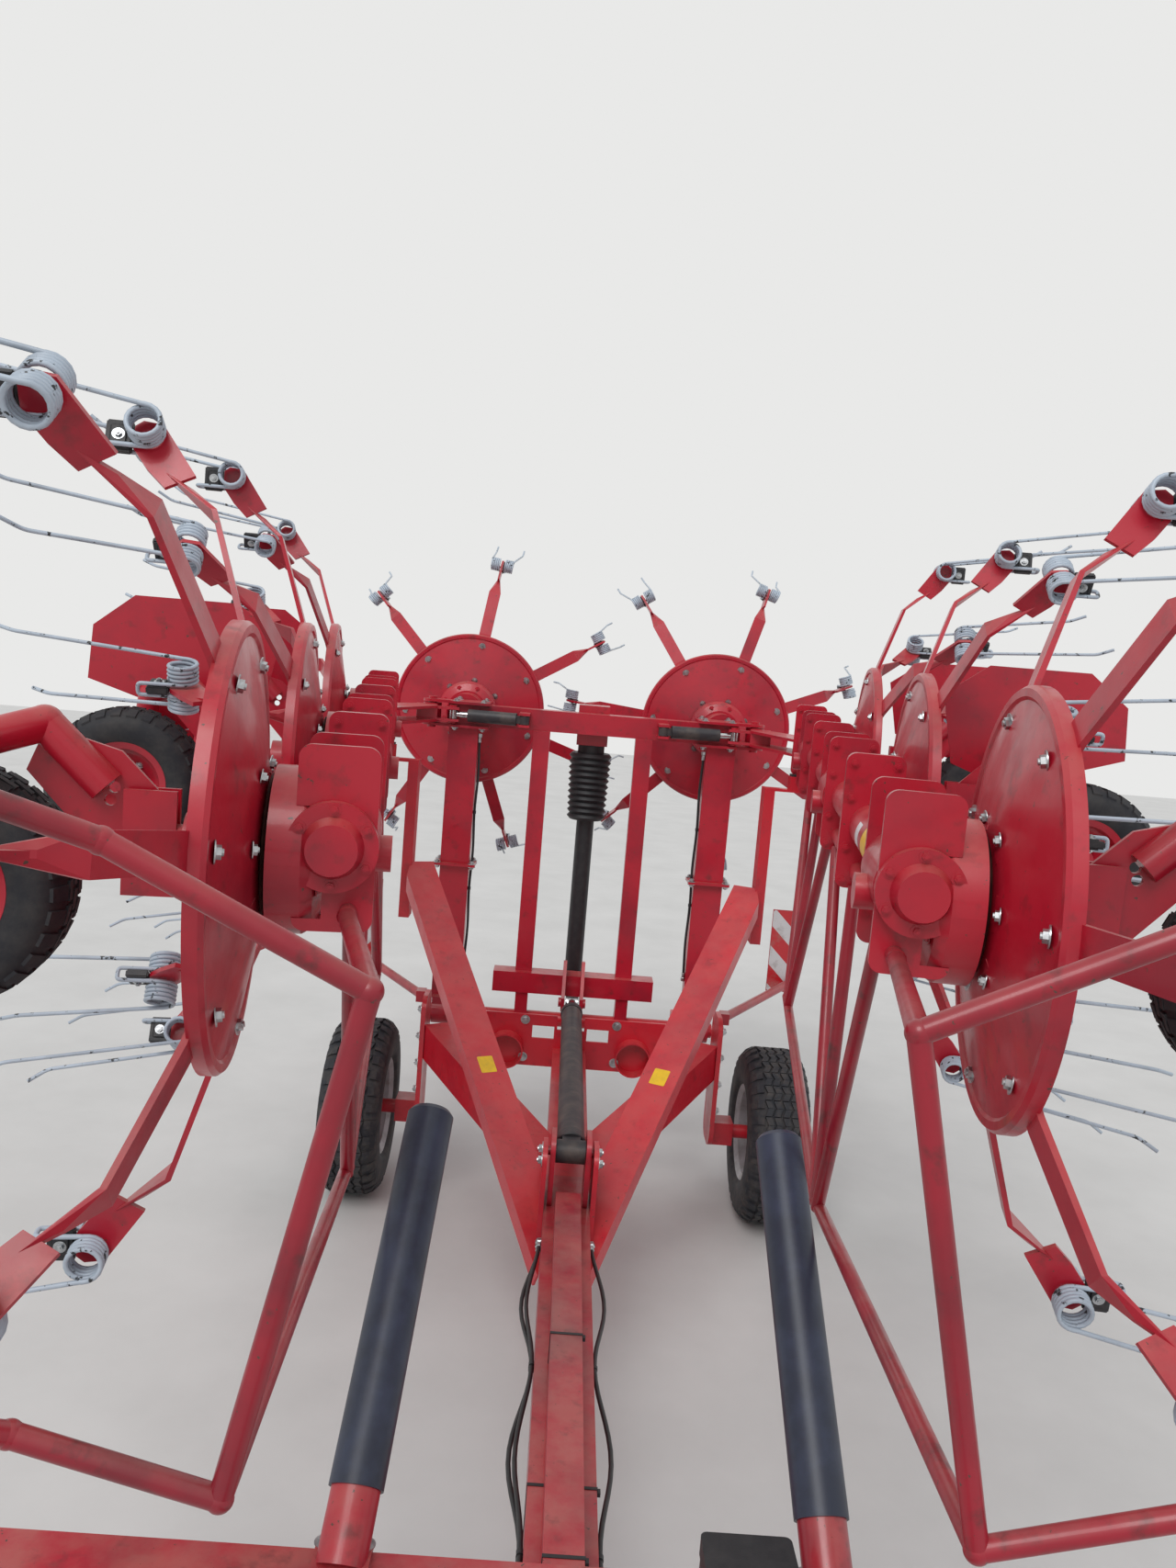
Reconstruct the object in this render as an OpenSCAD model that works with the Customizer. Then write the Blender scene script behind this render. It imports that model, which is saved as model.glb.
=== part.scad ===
/* [Tool beam] */
// Distance between neighbouring rotor centres
rotor_pitch = 1275; // [1250:5:1300]
// Distance from the beam's middle line to the rotor discs
beam_rise = 415; // [405:1:425]
// Side of the square centre beam
beam_box = 100; // [90:1:110]
// Height of the beam over the ground while it is raised
beam_z = 2125; // [2100:1:2150]
// Place of the raised beam behind the wheels' axle
beam_y = 610; // [600:1:620]
// Angle by which the raised beam leans to the front
beam_lean = 1.1; // [0.8:0.1:1.4]
// Outer diameter of the wings' drive tubes
wing_tube_d = 102; // [96:1:106]
// Outer diameter of the wings' stay tubes
stay_tube_d = 42; // [38:1:50]
// Thickness of the wings' bracket plates
bracket_t = 12; // [8:1:15]
// Distance between the two bracket plates of one rotor
bracket_gap = 200; // [190:1:210]

/* [Folding] */
// Angle between a folded wing and the opened one
fold_angle = 98; // [96:1:99]
// Distance from the middle to a wing's fold pin
hinge_x = 780; // [775:1:790]
// Diameter of the fold pins
hinge_pin_d = 40; // [30:1:46]
// Height of the tilting frame's pivot over the ground
pivot_z = 660; // [650:1:670]
// Place of the tilting frame's pivot behind the wheels' axle
pivot_y = 560; // [550:1:570]
// Diameter of the tilting frame's pivot tube
pivot_d = 70; // [60:1:80]
// Running clearance round pins and shafts
pin_gap = 1; // [0.5:0.1:1.5]

/* [Rotors] */
// Outer diameter of a rotor disc
disc_d = 767; // [750:1:780]
// Thickness of a disc's sheet
disc_t = 5; // [4:0.5:8]
// Depth of a disc's dish
disc_dish = 58; // [54:1:62]
// Number of tine arms on a rotor
arm_count = 7; // [7:1:7]
// Width of a tine arm
arm_w = 60; // [50:1:70]
// Thickness of a tine arm
arm_t = 10; // [8:1:12]
// Distance from the rotor's axis to a tine's coils
coil_r = 760; // [750:1:770]
// Distance from the disc's plane to a tine's coils
coil_drop = 215; // [205:1:225]
// Outer diameter of a tine's coils
coil_d = 70; // [64:1:76]
// Thickness of the tine wire
wire_d = 9.5; // [8:0.5:11]
// Turns in each coil of a tine
coil_turns = 5; // [4:1:6]
// Reach of the long leg of a tine
leg_long = 385; // [360:1:395]
// Reach of the short leg of a tine
leg_short = 315; // [290:1:330]

/* [Gauge wheels] */
// Outer diameter of a gauge wheel
gauge_d = 410; // [400:1:420]
// Width of a gauge wheel's tyre
gauge_w = 160; // [150:1:170]
// Distance from the disc's plane to a gauge wheel's axle
gauge_drop = 450; // [440:1:455]
// Diameter of the bent pipe that carries a gauge wheel
gauge_pipe_d = 60; // [54:1:66]
// Diameter of the fixed stem through a rotor
stem_d = 64; // [58:1:68]

/* [Chassis] */
// Distance between the middles of the transport tyres
track = 1830; // [1800:5:1860]
// Outer diameter of a transport tyre
tyre_d = 760; // [750:1:770]
// Width of a transport tyre
tyre_w = 264; // [250:1:275]
// Diameter of a transport tyre's rim
rim_d = 400; // [390:1:410]
// Side of the drawbar's box
drawbar_box = 150; // [140:1:160]
// Height of the drawbar's top over the ground
drawbar_top = 650; // [640:1:660]
// Distance from the hitch eye to the wheels' axle
hitch_back = 5450; // [5350:10:5550]
// Bore of the hitch eye
eye_d = 50; // [46:1:54]
// Place of the parking jack in front of the axle
jack_y = -4700; // [-4750:10:-4650]
// Half the distance between the sleeved posts' feet
post_x = 429; // [420:1:440]

/* [Hidden] */

// Colours
red = "#b3152b";
black = "#1d1f22";
steel = "#9ea3a8";
zinc = "#c3c6c8";

// The hitch eye is the origin; the ground lies hitch_z below it
hitch_z = drawbar_top - drawbar_box / 2;
arm_step = 360 / arm_count;
tine_pitch = wire_d + 0.3;
coil_len = coil_turns * tine_pitch;
small = 0.3;

// Measures of a rotor's seat, all from the beam's middle line to the disc
drum_d = 290;
drum_w = 90;
disc_gap = 12;
drum_back = beam_rise - disc_dish - disc_t - disc_gap;
core_d = 190;
shaft_d = 150;
// Middle lines of a wing's drive tube and stay tube, and the lower and upper edge of its plates
drive_y = 235;
drive_z = 30;
stay_y = 215;
stay_z = -75;
plate_y0 = 165;
plate_wide = 132;
plate_z0 = -115;
plate_tall = 310;
rotor_x = [for (i = [0:3]) rotor_pitch * (i + 0.5)];
station_x = [for (i = [1:3]) rotor_x[i] - hinge_x];
// The flanged joints halfway between the rotors of a wing
joint_x = [for (x = station_x) x - rotor_pitch / 2];
joint_t = 24;
// Angles by which the rotors stand turned, right and left, so that neighbours mesh
rotor_turn = [[-20.3, 12.2, -4.1, -4], [5.1, -6.4, 7.7, -9]];

// A straight round bar from point a to point b
module rod(a, b, d, fn = 32) {
  v = b - a;
  len = norm(v);
  translate(a)
    rotate([0, acos(v[2] / len), atan2(v[1], v[0])])
      cylinder(h = len, d = d, $fn = fn);
}

// A bent round bar through a list of points, with a slightly larger ball at each bend
ball_over = 1.5;
module bent_rod(points, d, fn = 32, over = ball_over) {
  for (i = [0:len(points) - 2]) {
    rod(points[i], points[i + 1], d, fn);
    if (i > 0) translate(points[i]) sphere(d = d + over, $fn = fn);
  }
}

// A closed loop of a round bar, with a ball at each corner
module ring_rod(points, d, over, fn = 32) {
  n = len(points);
  for (i = [0:n - 1]) {
    rod(points[i], points[(i + 1) % n], d, fn);
    translate(points[i]) sphere(d = d + over, $fn = fn);
  }
}

// A hollow square beam from a to b: width across, height up, seen along its run
module box_beam(a, b, w, h) {
  v = b - a;
  len = norm(v);
  yaw = atan2(v[1], v[0]);
  rise = asin(v[2] / len);
  translate(a) rotate([0, -rise, yaw])
    translate([0, -w / 2, -h / 2]) cube([len, w, h]);
}

// A plate with round corners in the plane of its first two sizes, standing on z = 0
module round_plate(w, h, t, r) {
  linear_extrude(height = t)
    union() {
      translate([r, 0]) square([w - 2 * r, h]);
      translate([0, r]) square([w, h - 2 * r]);
      for (x = [r, w - r], y = [r, h - r]) translate([x, y]) circle(r = r, $fn = 32);
    }
}

// Frames: the chassis, the raised tool beam, and the wings on their fold pins
module on_chassis() {
  translate([0, hitch_back, -hitch_z]) children();
}

module on_tilt() {
  on_chassis()
    translate([0, pivot_y, pivot_z]) rotate([beam_lean, 0, 0])
      translate([0, -pivot_y, -pivot_z]) children();
}

// side is 1 on the right and -1 on the left
module on_side(side) {
  if (side > 0) children();
  else mirror([1, 0, 0]) children();
}

module on_wing(side) {
  on_tilt() on_side(side)
    translate([hinge_x, beam_y, beam_z]) rotate([0, 0, -fold_angle]) children();
}

// The seat of rotor i, 0 on the centre beam and 1 to 3 on a wing; the disc's middle is the
// origin and z points away from the gearbox
module on_rotor(side, i) {
  if (i == 0)
    on_tilt() on_side(side)
      translate([rotor_x[0], beam_y + beam_rise, beam_z]) rotate([-90, 0, 0]) children();
  else
    on_wing(side)
      translate([station_x[i - 1], beam_rise, 0]) rotate([-90, 0, 0]) children();
}

// The way a rotor spins alternates along the whole beam
function spin(side, i) = side * (i % 2 == 0 ? -1 : 1);
function phase(side, i) = rotor_turn[side > 0 ? 0 : 1][i];

// Rotor: dished disc with a rolled rim, seven arms on its back and a hollow hub
module rotor_disc() {
  r = disc_d / 2;
  hub_r = stem_d / 2 + 2 * small;
  rim_w = 26;
  rim_h = 18;
  flat_r = 110;
  rotate_extrude($fn = 96)
    polygon([
      [hub_r, -disc_dish - disc_t], [flat_r, -disc_dish - disc_t],
      [r - rim_w, -rim_h], [r - rim_w + 6, -rim_h - 4], [r - 6, -rim_h - 4], [r, -rim_h + 4],
      [r, 8], [r - disc_t, 8], [r - disc_t, -rim_h + disc_t], [r - rim_w, -rim_h + disc_t + 2],
      [flat_r, -disc_dish], [hub_r + 22, -disc_dish], [hub_r + 22, 70], [hub_r, 70]
    ]);
}

// Side line of one arm, from the disc's back out to the tine
module arm_blank() {
  t = arm_t;
  in_r = 125;
  edge_r = disc_d / 2 + 8;
  in_a = -disc_dish - 3;
  edge_a = 5;
  out_r = coil_r - 150;
  out_a = coil_drop - 140;
  linear_extrude(height = arm_w, center = true)
    polygon([
      [in_r, in_a], [edge_r - 45, edge_a - 10], [edge_r, edge_a], [out_r, out_a],
      [out_r, out_a + t], [edge_r - 5, edge_a + t], [edge_r - 50, edge_a - 10 + t],
      [in_r, in_a + t]
    ]);
}

// Flared end of an arm, which reaches arm_over past the coils' middle
arm_over = 24;
// It is turned a quarter round so that the coils sit on both its faces
module arm_end() {
  linear_extrude(height = arm_t, center = true)
    polygon([
      [coil_r - 75, coil_drop - 92], [coil_r + 22, coil_drop - 26],
      [coil_r + 26, coil_drop + 10], [coil_r + 14, coil_drop + arm_over],
      [coil_r - 30, coil_drop + arm_over], [coil_r - 70, coil_drop - 5],
      [coil_r - 105, coil_drop - 40]
    ]);
}

module arm_twist() {
  hull() {
    translate([coil_r - 151, 0, coil_drop - 135]) cube([2, arm_w, arm_t], center = true);
    translate([coil_r - 90, 0, coil_drop - 66]) rotate([0, 30, 0])
      cube([2, arm_t, 58], center = true);
  }
}

// Children are drawn in the arm's own frame: x outwards, z away from the gearbox
module at_arms(side, i) {
  for (k = [0:arm_count - 1])
    rotate([0, 0, phase(side, i) + k * arm_step]) children();
}

module rotor(side, i) {
  color(red) on_rotor(side, i) {
    rotor_disc();
    at_arms(side, i) {
      rotate([90, 0, 0]) arm_blank();
      arm_twist();
      rotate([90, 0, 0]) arm_end();
    }
  }
}

// One coil of a tine as a ribbed ring with an open middle
module tine_coil() {
  out = coil_d / 2;
  dip = wire_d / 4;
  ribs = [for (k = [0:coil_turns - 1]) each [
    [out - dip, k * tine_pitch], [out, (k + 0.5) * tine_pitch]
  ]];
  rotate_extrude($fn = 48)
    polygon(concat([[out - wire_d, 0]], ribs, [[out - dip, coil_len], [out - wire_d, coil_len]]));
}

// A double tine: two coils, two legs with hooked tips, the loop between and its clamp
module tine(turn) {
  seat = arm_t / 2 + 4;
  run = (coil_d - wire_d) / 2;
  far = seat + coil_len - tine_pitch / 2;
  near = seat + tine_pitch / 2;
  leg_d = wire_d - 0.8;
  loop_z = 92;
  for (s = [-1, 1]) {
    leg = s * turn > 0 ? leg_long : leg_short;
    tip = [run + 0.16 * leg, s * (far + 0.05 * leg), leg];
    translate([0, s * seat, 0]) rotate([-s * 90, 0, 0]) tine_coil();
    bent_rod([[run, s * far, -4], tip, tip + [30, 0, 42]], leg_d, 16);
    translate([-run - leg_d / 2, s * near - leg_d / 2, -4]) cube([leg_d, leg_d, loop_z + 4]);
  }
  translate([-run, 0, loop_z]) cube([wire_d, 2 * near + wire_d, wire_d], center = true);
  translate([-run - 8, small - seat, arm_over + small]) cube([60, 2 * (seat - small), 50]);
}

module tines(side, i) {
  color(steel) on_rotor(side, i) at_arms(side, i)
    translate([coil_r, 0, coil_drop]) tine(side * spin(side, i));
}

// Gearbox with its drum cover; y runs from the wing's middle line to the disc
module rotor_gearbox(last) {
  cap_d = 64;
  rotate([-90, 0, 0]) {
    translate([0, 0, drum_back - drum_w])
      rotate_extrude($fn = 64)
        polygon([
          [0, 0], [drum_d / 2 - 45, 0], [drum_d / 2 - 12, 14], [drum_d / 2, 34],
          [drum_d / 2, drum_w], [0, drum_w]
        ]);
    translate([0, 0, drive_y - shaft_d / 2 - 20])
      cylinder(h = shaft_d / 2 + 40, d = cap_d, $fn = 48);
  }
  // Housing between the bracket plates, and the bolted cover in front of the last rotor
  translate([0, drive_y, drive_z]) rotate([0, 90, 0]) {
    cylinder(h = bracket_gap - 2 * small, d = shaft_d, center = true, $fn = 48);
    if (last) {
      translate([0, 0, bracket_gap / 2 + bracket_t + small]) cylinder(h = 22, d = shaft_d,
        $fn = 48);
      translate([0, 0, bracket_gap / 2 + bracket_t + 20]) cylinder(h = 30, d1 = 104, d2 = 84,
        $fn = 48);
    }
  }
}

// Fixed stem through a rotor's hub, its adjusting plate and the bent pipe to the wheel's
// axle, which lies along the beam and ahead of the rotor's axis
wheel_ahead = 85;
module wheel_carrier(side, i) {
  on_rotor(side, i) {
    stem_low = disc_dish + disc_t + disc_gap;
    plate_x = -gauge_w / 2 - 30;
    // Stem through the hub, with the two cheeks that clamp the adjusting plate
    translate([0, 0, -stem_low + small]) cylinder(h = stem_low + 100, d = stem_d, $fn = 48);
    for (x = [-22, 12])
      translate([x, -90, 84]) cube([10, 180, 86]);
    // Adjusting plate with its five holes
    translate([-12, 0, 0]) rotate([90, 0, 90])
      linear_extrude(height = 10)
        difference() {
          polygon([[60, 100], [70, 170], [-110, 330], [-185, 300], [-150, 180], [-60, 92]]);
          for (k = [0:4]) translate([-45 - 22 * k, 150 + 26 * (k % 2) + 20 * k])
            circle(d = 20, $fn = 24);
        }
    // Bent pipe from the plate's elbow to the axle, on the outer side of the last wheel
    on_side(i == 3 ? -1 : 1) {
      bent_rod([
        [-7, -90, 200], [-7, -190, 300], [plate_x, -150, 420],
        [plate_x, wheel_ahead, gauge_drop]
      ], gauge_pipe_d);
      rod([plate_x - 20, wheel_ahead, gauge_drop],
          [gauge_w / 2 - 10, wheel_ahead, gauge_drop], 30);
    }
  }
}

module gauge_wheel(side, i) {
  color(black) on_rotor(side, i)
    translate([0, wheel_ahead, gauge_drop]) rotate([0, 90, 0])
      difference() {
        union() {
          rotate_extrude($fn = 72)
            polygon([
              [gauge_d / 2 - 95, -gauge_w / 2 + 12], [gauge_d / 2 - 45, -gauge_w / 2],
              [gauge_d / 2 - 14, -gauge_w / 2 + 14], [gauge_d / 2, -gauge_w / 2 + 40],
              [gauge_d / 2, gauge_w / 2 - 40], [gauge_d / 2 - 14, gauge_w / 2 - 14],
              [gauge_d / 2 - 45, gauge_w / 2], [gauge_d / 2 - 95, gauge_w / 2 - 12]
            ]);
          rotate_extrude($fn = 48)
            polygon([
              [15 + pin_gap, -gauge_w / 2 + 20], [34, -gauge_w / 2 + 20], [34, -8],
              [gauge_d / 2 - 95, -8], [gauge_d / 2 - 95, 8], [34, 8],
              [34, gauge_w / 2 - 20], [15 + pin_gap, gauge_w / 2 - 20]
            ]);
        }
      }
}

// Centre beam with its end flanges and the hinge ears for the wings
module centre_beam() {
  half = hinge_x - 90;
  flange_l = 190;
  color(red) on_tilt() translate([0, beam_y, beam_z]) {
    translate([-half, -beam_box / 2, -beam_box / 2]) cube([2 * half, beam_box, beam_box]);
    for (side = [-1, 1]) on_side(side) {
      for (z = [-beam_box / 2 - flange_t, beam_box / 2])
        translate([half - flange_l, -80, z]) cube([flange_l, 200, flange_t]);
      for (z = [-beam_box / 2 - flange_t, beam_box / 2])
        difference() {
          union() {
            translate([half - 20, -45, z]) cube([hinge_x - half + 20, 90, flange_t]);
            translate([hinge_x, 0, z]) cylinder(h = flange_t, d = 90, $fn = 48);
          }
          translate([hinge_x, 0, z - 1]) cylinder(h = flange_t + 2,
            d = hinge_pin_d + 2 * pin_gap, $fn = 48);
        }
      // Bracket and pin of the fold cylinder's foot
      translate([fold_foot[0], fold_foot[1] - beam_y, 0]) {
        for (z = [-fold_ear_z - ear_t, fold_ear_z])
          translate([-25, -25, z])
            cube([50, beam_y - fold_foot[1] - beam_box / 2 + 25, ear_t]);
        cylinder(h = 2 * (fold_ear_z + ear_t), d = fold_pin_d, center = true, $fn = 32);
      }
    }
  }
}

// Uprights, ladder bars and the lower crossbar, all on the pivot tube
post_wide = 140;
ladder_x = 245;
outer_x = 620;
cross_y = 550;
cross_z = 850;
cross_box = 100;
cross_half = 390;
flange_t = 12;
module tilt_frame() {
  top = beam_z - beam_box / 2;
  boss_d = pivot_d + 50;
  foot_z = pivot_z + 60;
  ear_x = 36;
  ear_w = 16;
  color(red) on_tilt() difference() {
    union() {
      for (side = [-1, 1]) on_side(side) {
        // Outer upright with its flange and its boss on the pivot tube
        translate([outer_x - post_wide / 2, beam_y - 40, foot_z])
          cube([post_wide, 80, top - flange_t - foot_z]);
        translate([outer_x - post_wide / 2 - 30, beam_y - 70, 1390])
          cube([post_wide + 60, 140, flange_t]);
        translate([outer_x, pivot_y, pivot_z]) rotate([0, 90, 0])
          cylinder(h = post_wide - 20, d = boss_d, center = true, $fn = 48);
        translate([outer_x - post_wide / 2 + 10, pivot_y - 40, pivot_z])
          cube([post_wide - 20, beam_y + 40 - pivot_y + 40, foot_z - pivot_z + 20]);
        // Ladder bar, and the crossbar's foot on the tube
        translate([ladder_x - 40, beam_y - 70, cross_z + cross_box / 2 - 1])
          cube([80, 60, top - cross_z - cross_box / 2 + 1]);
        translate([ladder_x, pivot_y, pivot_z]) rotate([0, 90, 0])
          cylinder(h = 60, d = boss_d, center = true, $fn = 48);
        translate([ladder_x - 30, cross_y - 40, pivot_z])
          cube([60, 80, cross_z - pivot_z]);
      }
      translate([-cross_half, cross_y - cross_box / 2, cross_z - cross_box / 2])
        cube([2 * cross_half, cross_box, cross_box]);
      // Ears for the lift cylinder's rod
      for (x = [-ear_x - ear_w, ear_x]) translate([x, 0, 0])
        rotate([90, 0, 90]) linear_extrude(height = ear_w)
          polygon([
            [lift_top[1] - 38, lift_top[2] - 20], [lift_top[1] - 20, lift_top[2] - 40],
            [cross_y + 20, lift_top[2] - 10], [cross_y + 20, cross_z + 110],
            [cross_y - cross_box / 2 - 20, cross_z + 130], [lift_top[1] - 38, lift_top[2] + 30]
          ]);
    }
    translate([0, pivot_y, pivot_z]) rotate([0, 90, 0])
      cylinder(h = 2 * outer_x + 400, d = pivot_d + 2 * pin_gap, center = true, $fn = 48);
  }
  // Heads of the pin that holds the lift cylinder's rod
  color(zinc) on_tilt()
    for (x = [-ear_x - ear_w - 13, ear_x + ear_w - 1])
      translate([x, lift_top[1], lift_top[2]]) rotate([0, 90, 0])
        cylinder(h = 14, d = 44, $fn = 32);
}

// Lift cylinder between the drawbar and the tilting frame
lift_pin_d = 30;
lift_ear_x = 50;
lift_foot = [0, -1380, 815];
lift_top = [0, pivot_y - 165, pivot_z + 140];
lift_now = leaned(lift_top);
lift_bore = 93;
lift_rod_d = 50;
lift_dir = (lift_now - lift_foot) / norm(lift_now - lift_foot);
lift_angle = atan2(lift_dir[2], lift_dir[1]);
lift_barrel_len = 1600;

// A point of the tilting frame, after it has leaned about its pivot
function leaned(p) = [
  p[0],
  pivot_y + (p[1] - pivot_y) * cos(beam_lean) - (p[2] - pivot_z) * sin(beam_lean),
  pivot_z + (p[1] - pivot_y) * sin(beam_lean) + (p[2] - pivot_z) * cos(beam_lean)
];

module on_lift() {
  on_chassis() translate(lift_foot) rotate([lift_angle, 0, 0]) children();
}

module lift_barrel() {
  wall = 6;
  color(black) on_lift() difference() {
    union() {
      translate([0, 40, 0]) rotate([-90, 0, 0])
        cylinder(h = lift_barrel_len - 40, d = lift_bore, $fn = 48);
      rotate([0, 90, 0]) cylinder(h = 2 * lift_ear_x - 4, d = 76, center = true, $fn = 48);
      translate([-30, 0, -38]) cube([60, 60, 76]);
    }
    rotate([0, 90, 0]) cylinder(h = 140, d = lift_pin_d + 2 * pin_gap, center = true, $fn = 32);
    translate([0, 90, 0]) rotate([-90, 0, 0])
      cylinder(h = lift_barrel_len - 90 - 40, d = lift_bore - 2 * wall, $fn = 32);
    translate([0, 90, 0]) rotate([-90, 0, 0])
      cylinder(h = lift_barrel_len, d = lift_rod_d + 2 * pin_gap, $fn = 32);
  }
}

module lift_rod() {
  top = norm(lift_now - lift_foot);
  color(steel) on_lift() difference() {
    union() {
      translate([0, 160, 0]) rotate([-90, 0, 0])
        cylinder(h = top - 180, d = lift_rod_d, $fn = 32);
      translate([0, top, 0]) rotate([0, 90, 0])
        cylinder(h = 60, d = 66, center = true, $fn = 48);
    }
    translate([0, top, 0]) rotate([0, 90, 0])
      cylinder(h = 100, d = lift_pin_d + 2 * pin_gap, center = true, $fn = 32);
  }
}

// Gearboxes of the centre beam: one in the middle and one at each rotor
module centre_gearboxes() {
  neck = 2 * (beam_box / 2 - small);
  color(red) on_tilt() translate([0, beam_y, beam_z]) {
    for (side = [-1, 1]) on_side(side)
      translate([rotor_x[0], 0, 0]) {
        rotate([-90, 0, 0]) {
          translate([0, 0, drum_back - drum_w])
            rotate_extrude($fn = 64)
              polygon([
                [0, 0], [drum_d / 2 - 45, 0], [drum_d / 2 - 12, 14], [drum_d / 2, 34],
                [drum_d / 2, drum_w], [0, drum_w]
              ]);
          translate([0, 0, 128]) cylinder(h = drum_back - drum_w - 128 + 1, d = core_d - 10,
            $fn = 48);
        }
        translate([-70, beam_box / 2 + small, -neck / 2]) cube([140, 100, neck]);
      }
    translate([-75, beam_box / 2 + small, -110]) cube([150, 2 * (drive_back - beam_box / 2), 195]);
    rotate([0, 90, 0]) translate([0, 100, 0])
      cylinder(h = 2 * rotor_x[0] - 120, d = 60, center = true, $fn = 48);
  }
}

// Black bellows and guard tube of the drive shaft, down to the pivot
drive_back = 110;
module drive_guard() {
  top = beam_z - 110 - small;
  neck_h = 40;
  rib_h = 30;
  ribs = 11;
  low = pivot_z + 110;
  color(black) on_tilt() translate([0, beam_y + drive_back, 0]) {
    translate([0, 0, top - neck_h]) cylinder(h = neck_h, d = 130, $fn = 48);
    for (k = [0:ribs - 1]) translate([0, 0, top - neck_h - (k + 1) * rib_h])
      rotate_extrude($fn = 48)
        polygon([[0, 0], [92 - k, 0], [105 - k, rib_h / 2], [92 - k, rib_h], [0, rib_h]]);
    translate([0, 0, low]) cylinder(h = top - neck_h - ribs * rib_h - low, d = 86, $fn = 48);
  }
}

module centre_wheel_arms() {
  color(red) for (side = [-1, 1]) wheel_carrier(side, 0);
}

// One upright plate of a wing, its middle at x
module wing_plate(x, t) {
  translate([x - t / 2, plate_y0, plate_z0])
    rotate([90, 0, 90]) round_plate(plate_wide, plate_tall, t, 22);
}

// Wing frame: bracket plates at the gearboxes, flanged joints between the rotors, the drive and
// stay tubes and the hinge at its root
module wing_frame(side) {
  plate_x = bracket_gap / 2 + bracket_t / 2;
  edge = bracket_gap / 2 + bracket_t;
  color(red) on_wing(side) {
    difference() {
      union() {
        for (i = [0:2]) for (s = [-1, 1]) wing_plate(station_x[i] + s * plate_x, bracket_t);
        for (i = [0:2]) {
          spans = concat([[joint_x[i] + joint_t / 2, station_x[i] - edge]],
                         i < 2 ? [[station_x[i] + edge, joint_x[i + 1] - joint_t / 2]] : []);
          for (span = spans) {
            rod([span[0], drive_y, drive_z], [span[1], drive_y, drive_z], wing_tube_d);
            rod([span[0], stay_y, stay_z], [span[1], stay_y, stay_z], stay_tube_d);
          }
        }
      }
      // Seats of the gearboxes' drums
      for (i = [0:2]) translate([station_x[i], drum_back - drum_w - 1, 0]) rotate([-90, 0, 0])
        cylinder(h = drum_w + 20, d = drum_d + 2, $fn = 64);
    }
    for (x = joint_x) wing_plate(x, joint_t);
    // Hinge block on the fold pin, and its two plates out to the first joint
    difference() {
      union() {
        translate([0, 0, -beam_box / 2 + 6])
          cylinder(h = beam_box - 12, d = 86, $fn = 48);
        translate([0, -20, -38]) cube([140, 96, 76]);
        for (z = [-38, 26]) translate([0, 0, z]) linear_extrude(height = 12)
          polygon([[20, -20], [140, -20], [joint_x[0] - 10, plate_y0 + 6],
                   [joint_x[0] - 10, plate_y0 + plate_wide - 6], [230, 250], [20, 60]]);
      }
      translate([0, 0, -beam_box]) cylinder(h = 2 * beam_box, d = hinge_pin_d, $fn = 48);
    }
    translate([0, 0, -beam_box / 2 - 24]) cylinder(h = beam_box + 48, d = hinge_pin_d,
      $fn = 48);
    // Ears and pin heads for the eye of the fold cylinder's rod
    for (s = [-1, 1]) translate([fold_eye[0], fold_eye[1], s * (fold_ear_z + ear_t / 2)]) {
      translate([-20, -28, -ear_t / 2]) cube([48, 105, ear_t]);
      translate([0, 0, s * (ear_t / 2 + 4)]) cylinder(h = 10, d = 38, center = true, $fn = 32);
    }
  }
}

module wing_gearboxes(side) {
  color(red) on_wing(side)
    for (i = [0:2]) translate([station_x[i], 0, 0]) rotor_gearbox(i == 2);
}

module wing_wheel_arms(side) {
  color(red) for (i = [1:3]) wheel_carrier(side, i);
}

// Tubular guard in the wing's frame: a pole to the frame in front of the last rotor, the rail
// below the tubes, and its stays
guard_d = 30;
guard_top = [4400, 153, -24];
guard_low = [4400, 293, -657];
guard_out = [[4600, 800, 300], [4600, 800, -380]];
rail_nodes = [[3100, 198, -850], [1830, 170, -760]];
// Each stay starts beside a plate's foot, right below the stay tube, and ends at a node of the
// rail, a little before or after its middle
function stay_feet() = let (r = guard_d / 2 + small, e = bracket_gap / 2 + bracket_t + r,
                            f = joint_t / 2 + r) [
  [station_x[2] - e, 0, 40], [joint_x[2] + f, 0, 0], [station_x[1] + e, 0, -40],
  [station_x[1] - e, 1, 40], [joint_x[1] + f, 1, 0], [station_x[0] + e, 1, -40]
];
module wing_guard(side) {
  pole_x = station_x[2] + bracket_gap / 2 + bracket_t + small;
  foot_z = stay_z - stay_tube_d / 2 - 0.75 * guard_d / 2;
  over = 4;
  color(red) on_wing(side) {
    ring_rod([guard_top, guard_top + [0, 300, 160], guard_out[0], guard_out[1],
              guard_low + [0, 240, 90], guard_low], guard_d, over);
    bent_rod([[pole_x, 205, -80], [pole_x + 30, 205, -80], guard_top], guard_d, over = over);
    bent_rod([guard_low, rail_nodes[0], 1.05 * rail_nodes[1] - 0.05 * rail_nodes[0]], guard_d,
             over = over);
    for (stay = stay_feet())
      rod([stay[0], stay_y - 5, foot_z], rail_nodes[stay[1]] + [stay[2], 0, 2], guard_d);
  }
}

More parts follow.
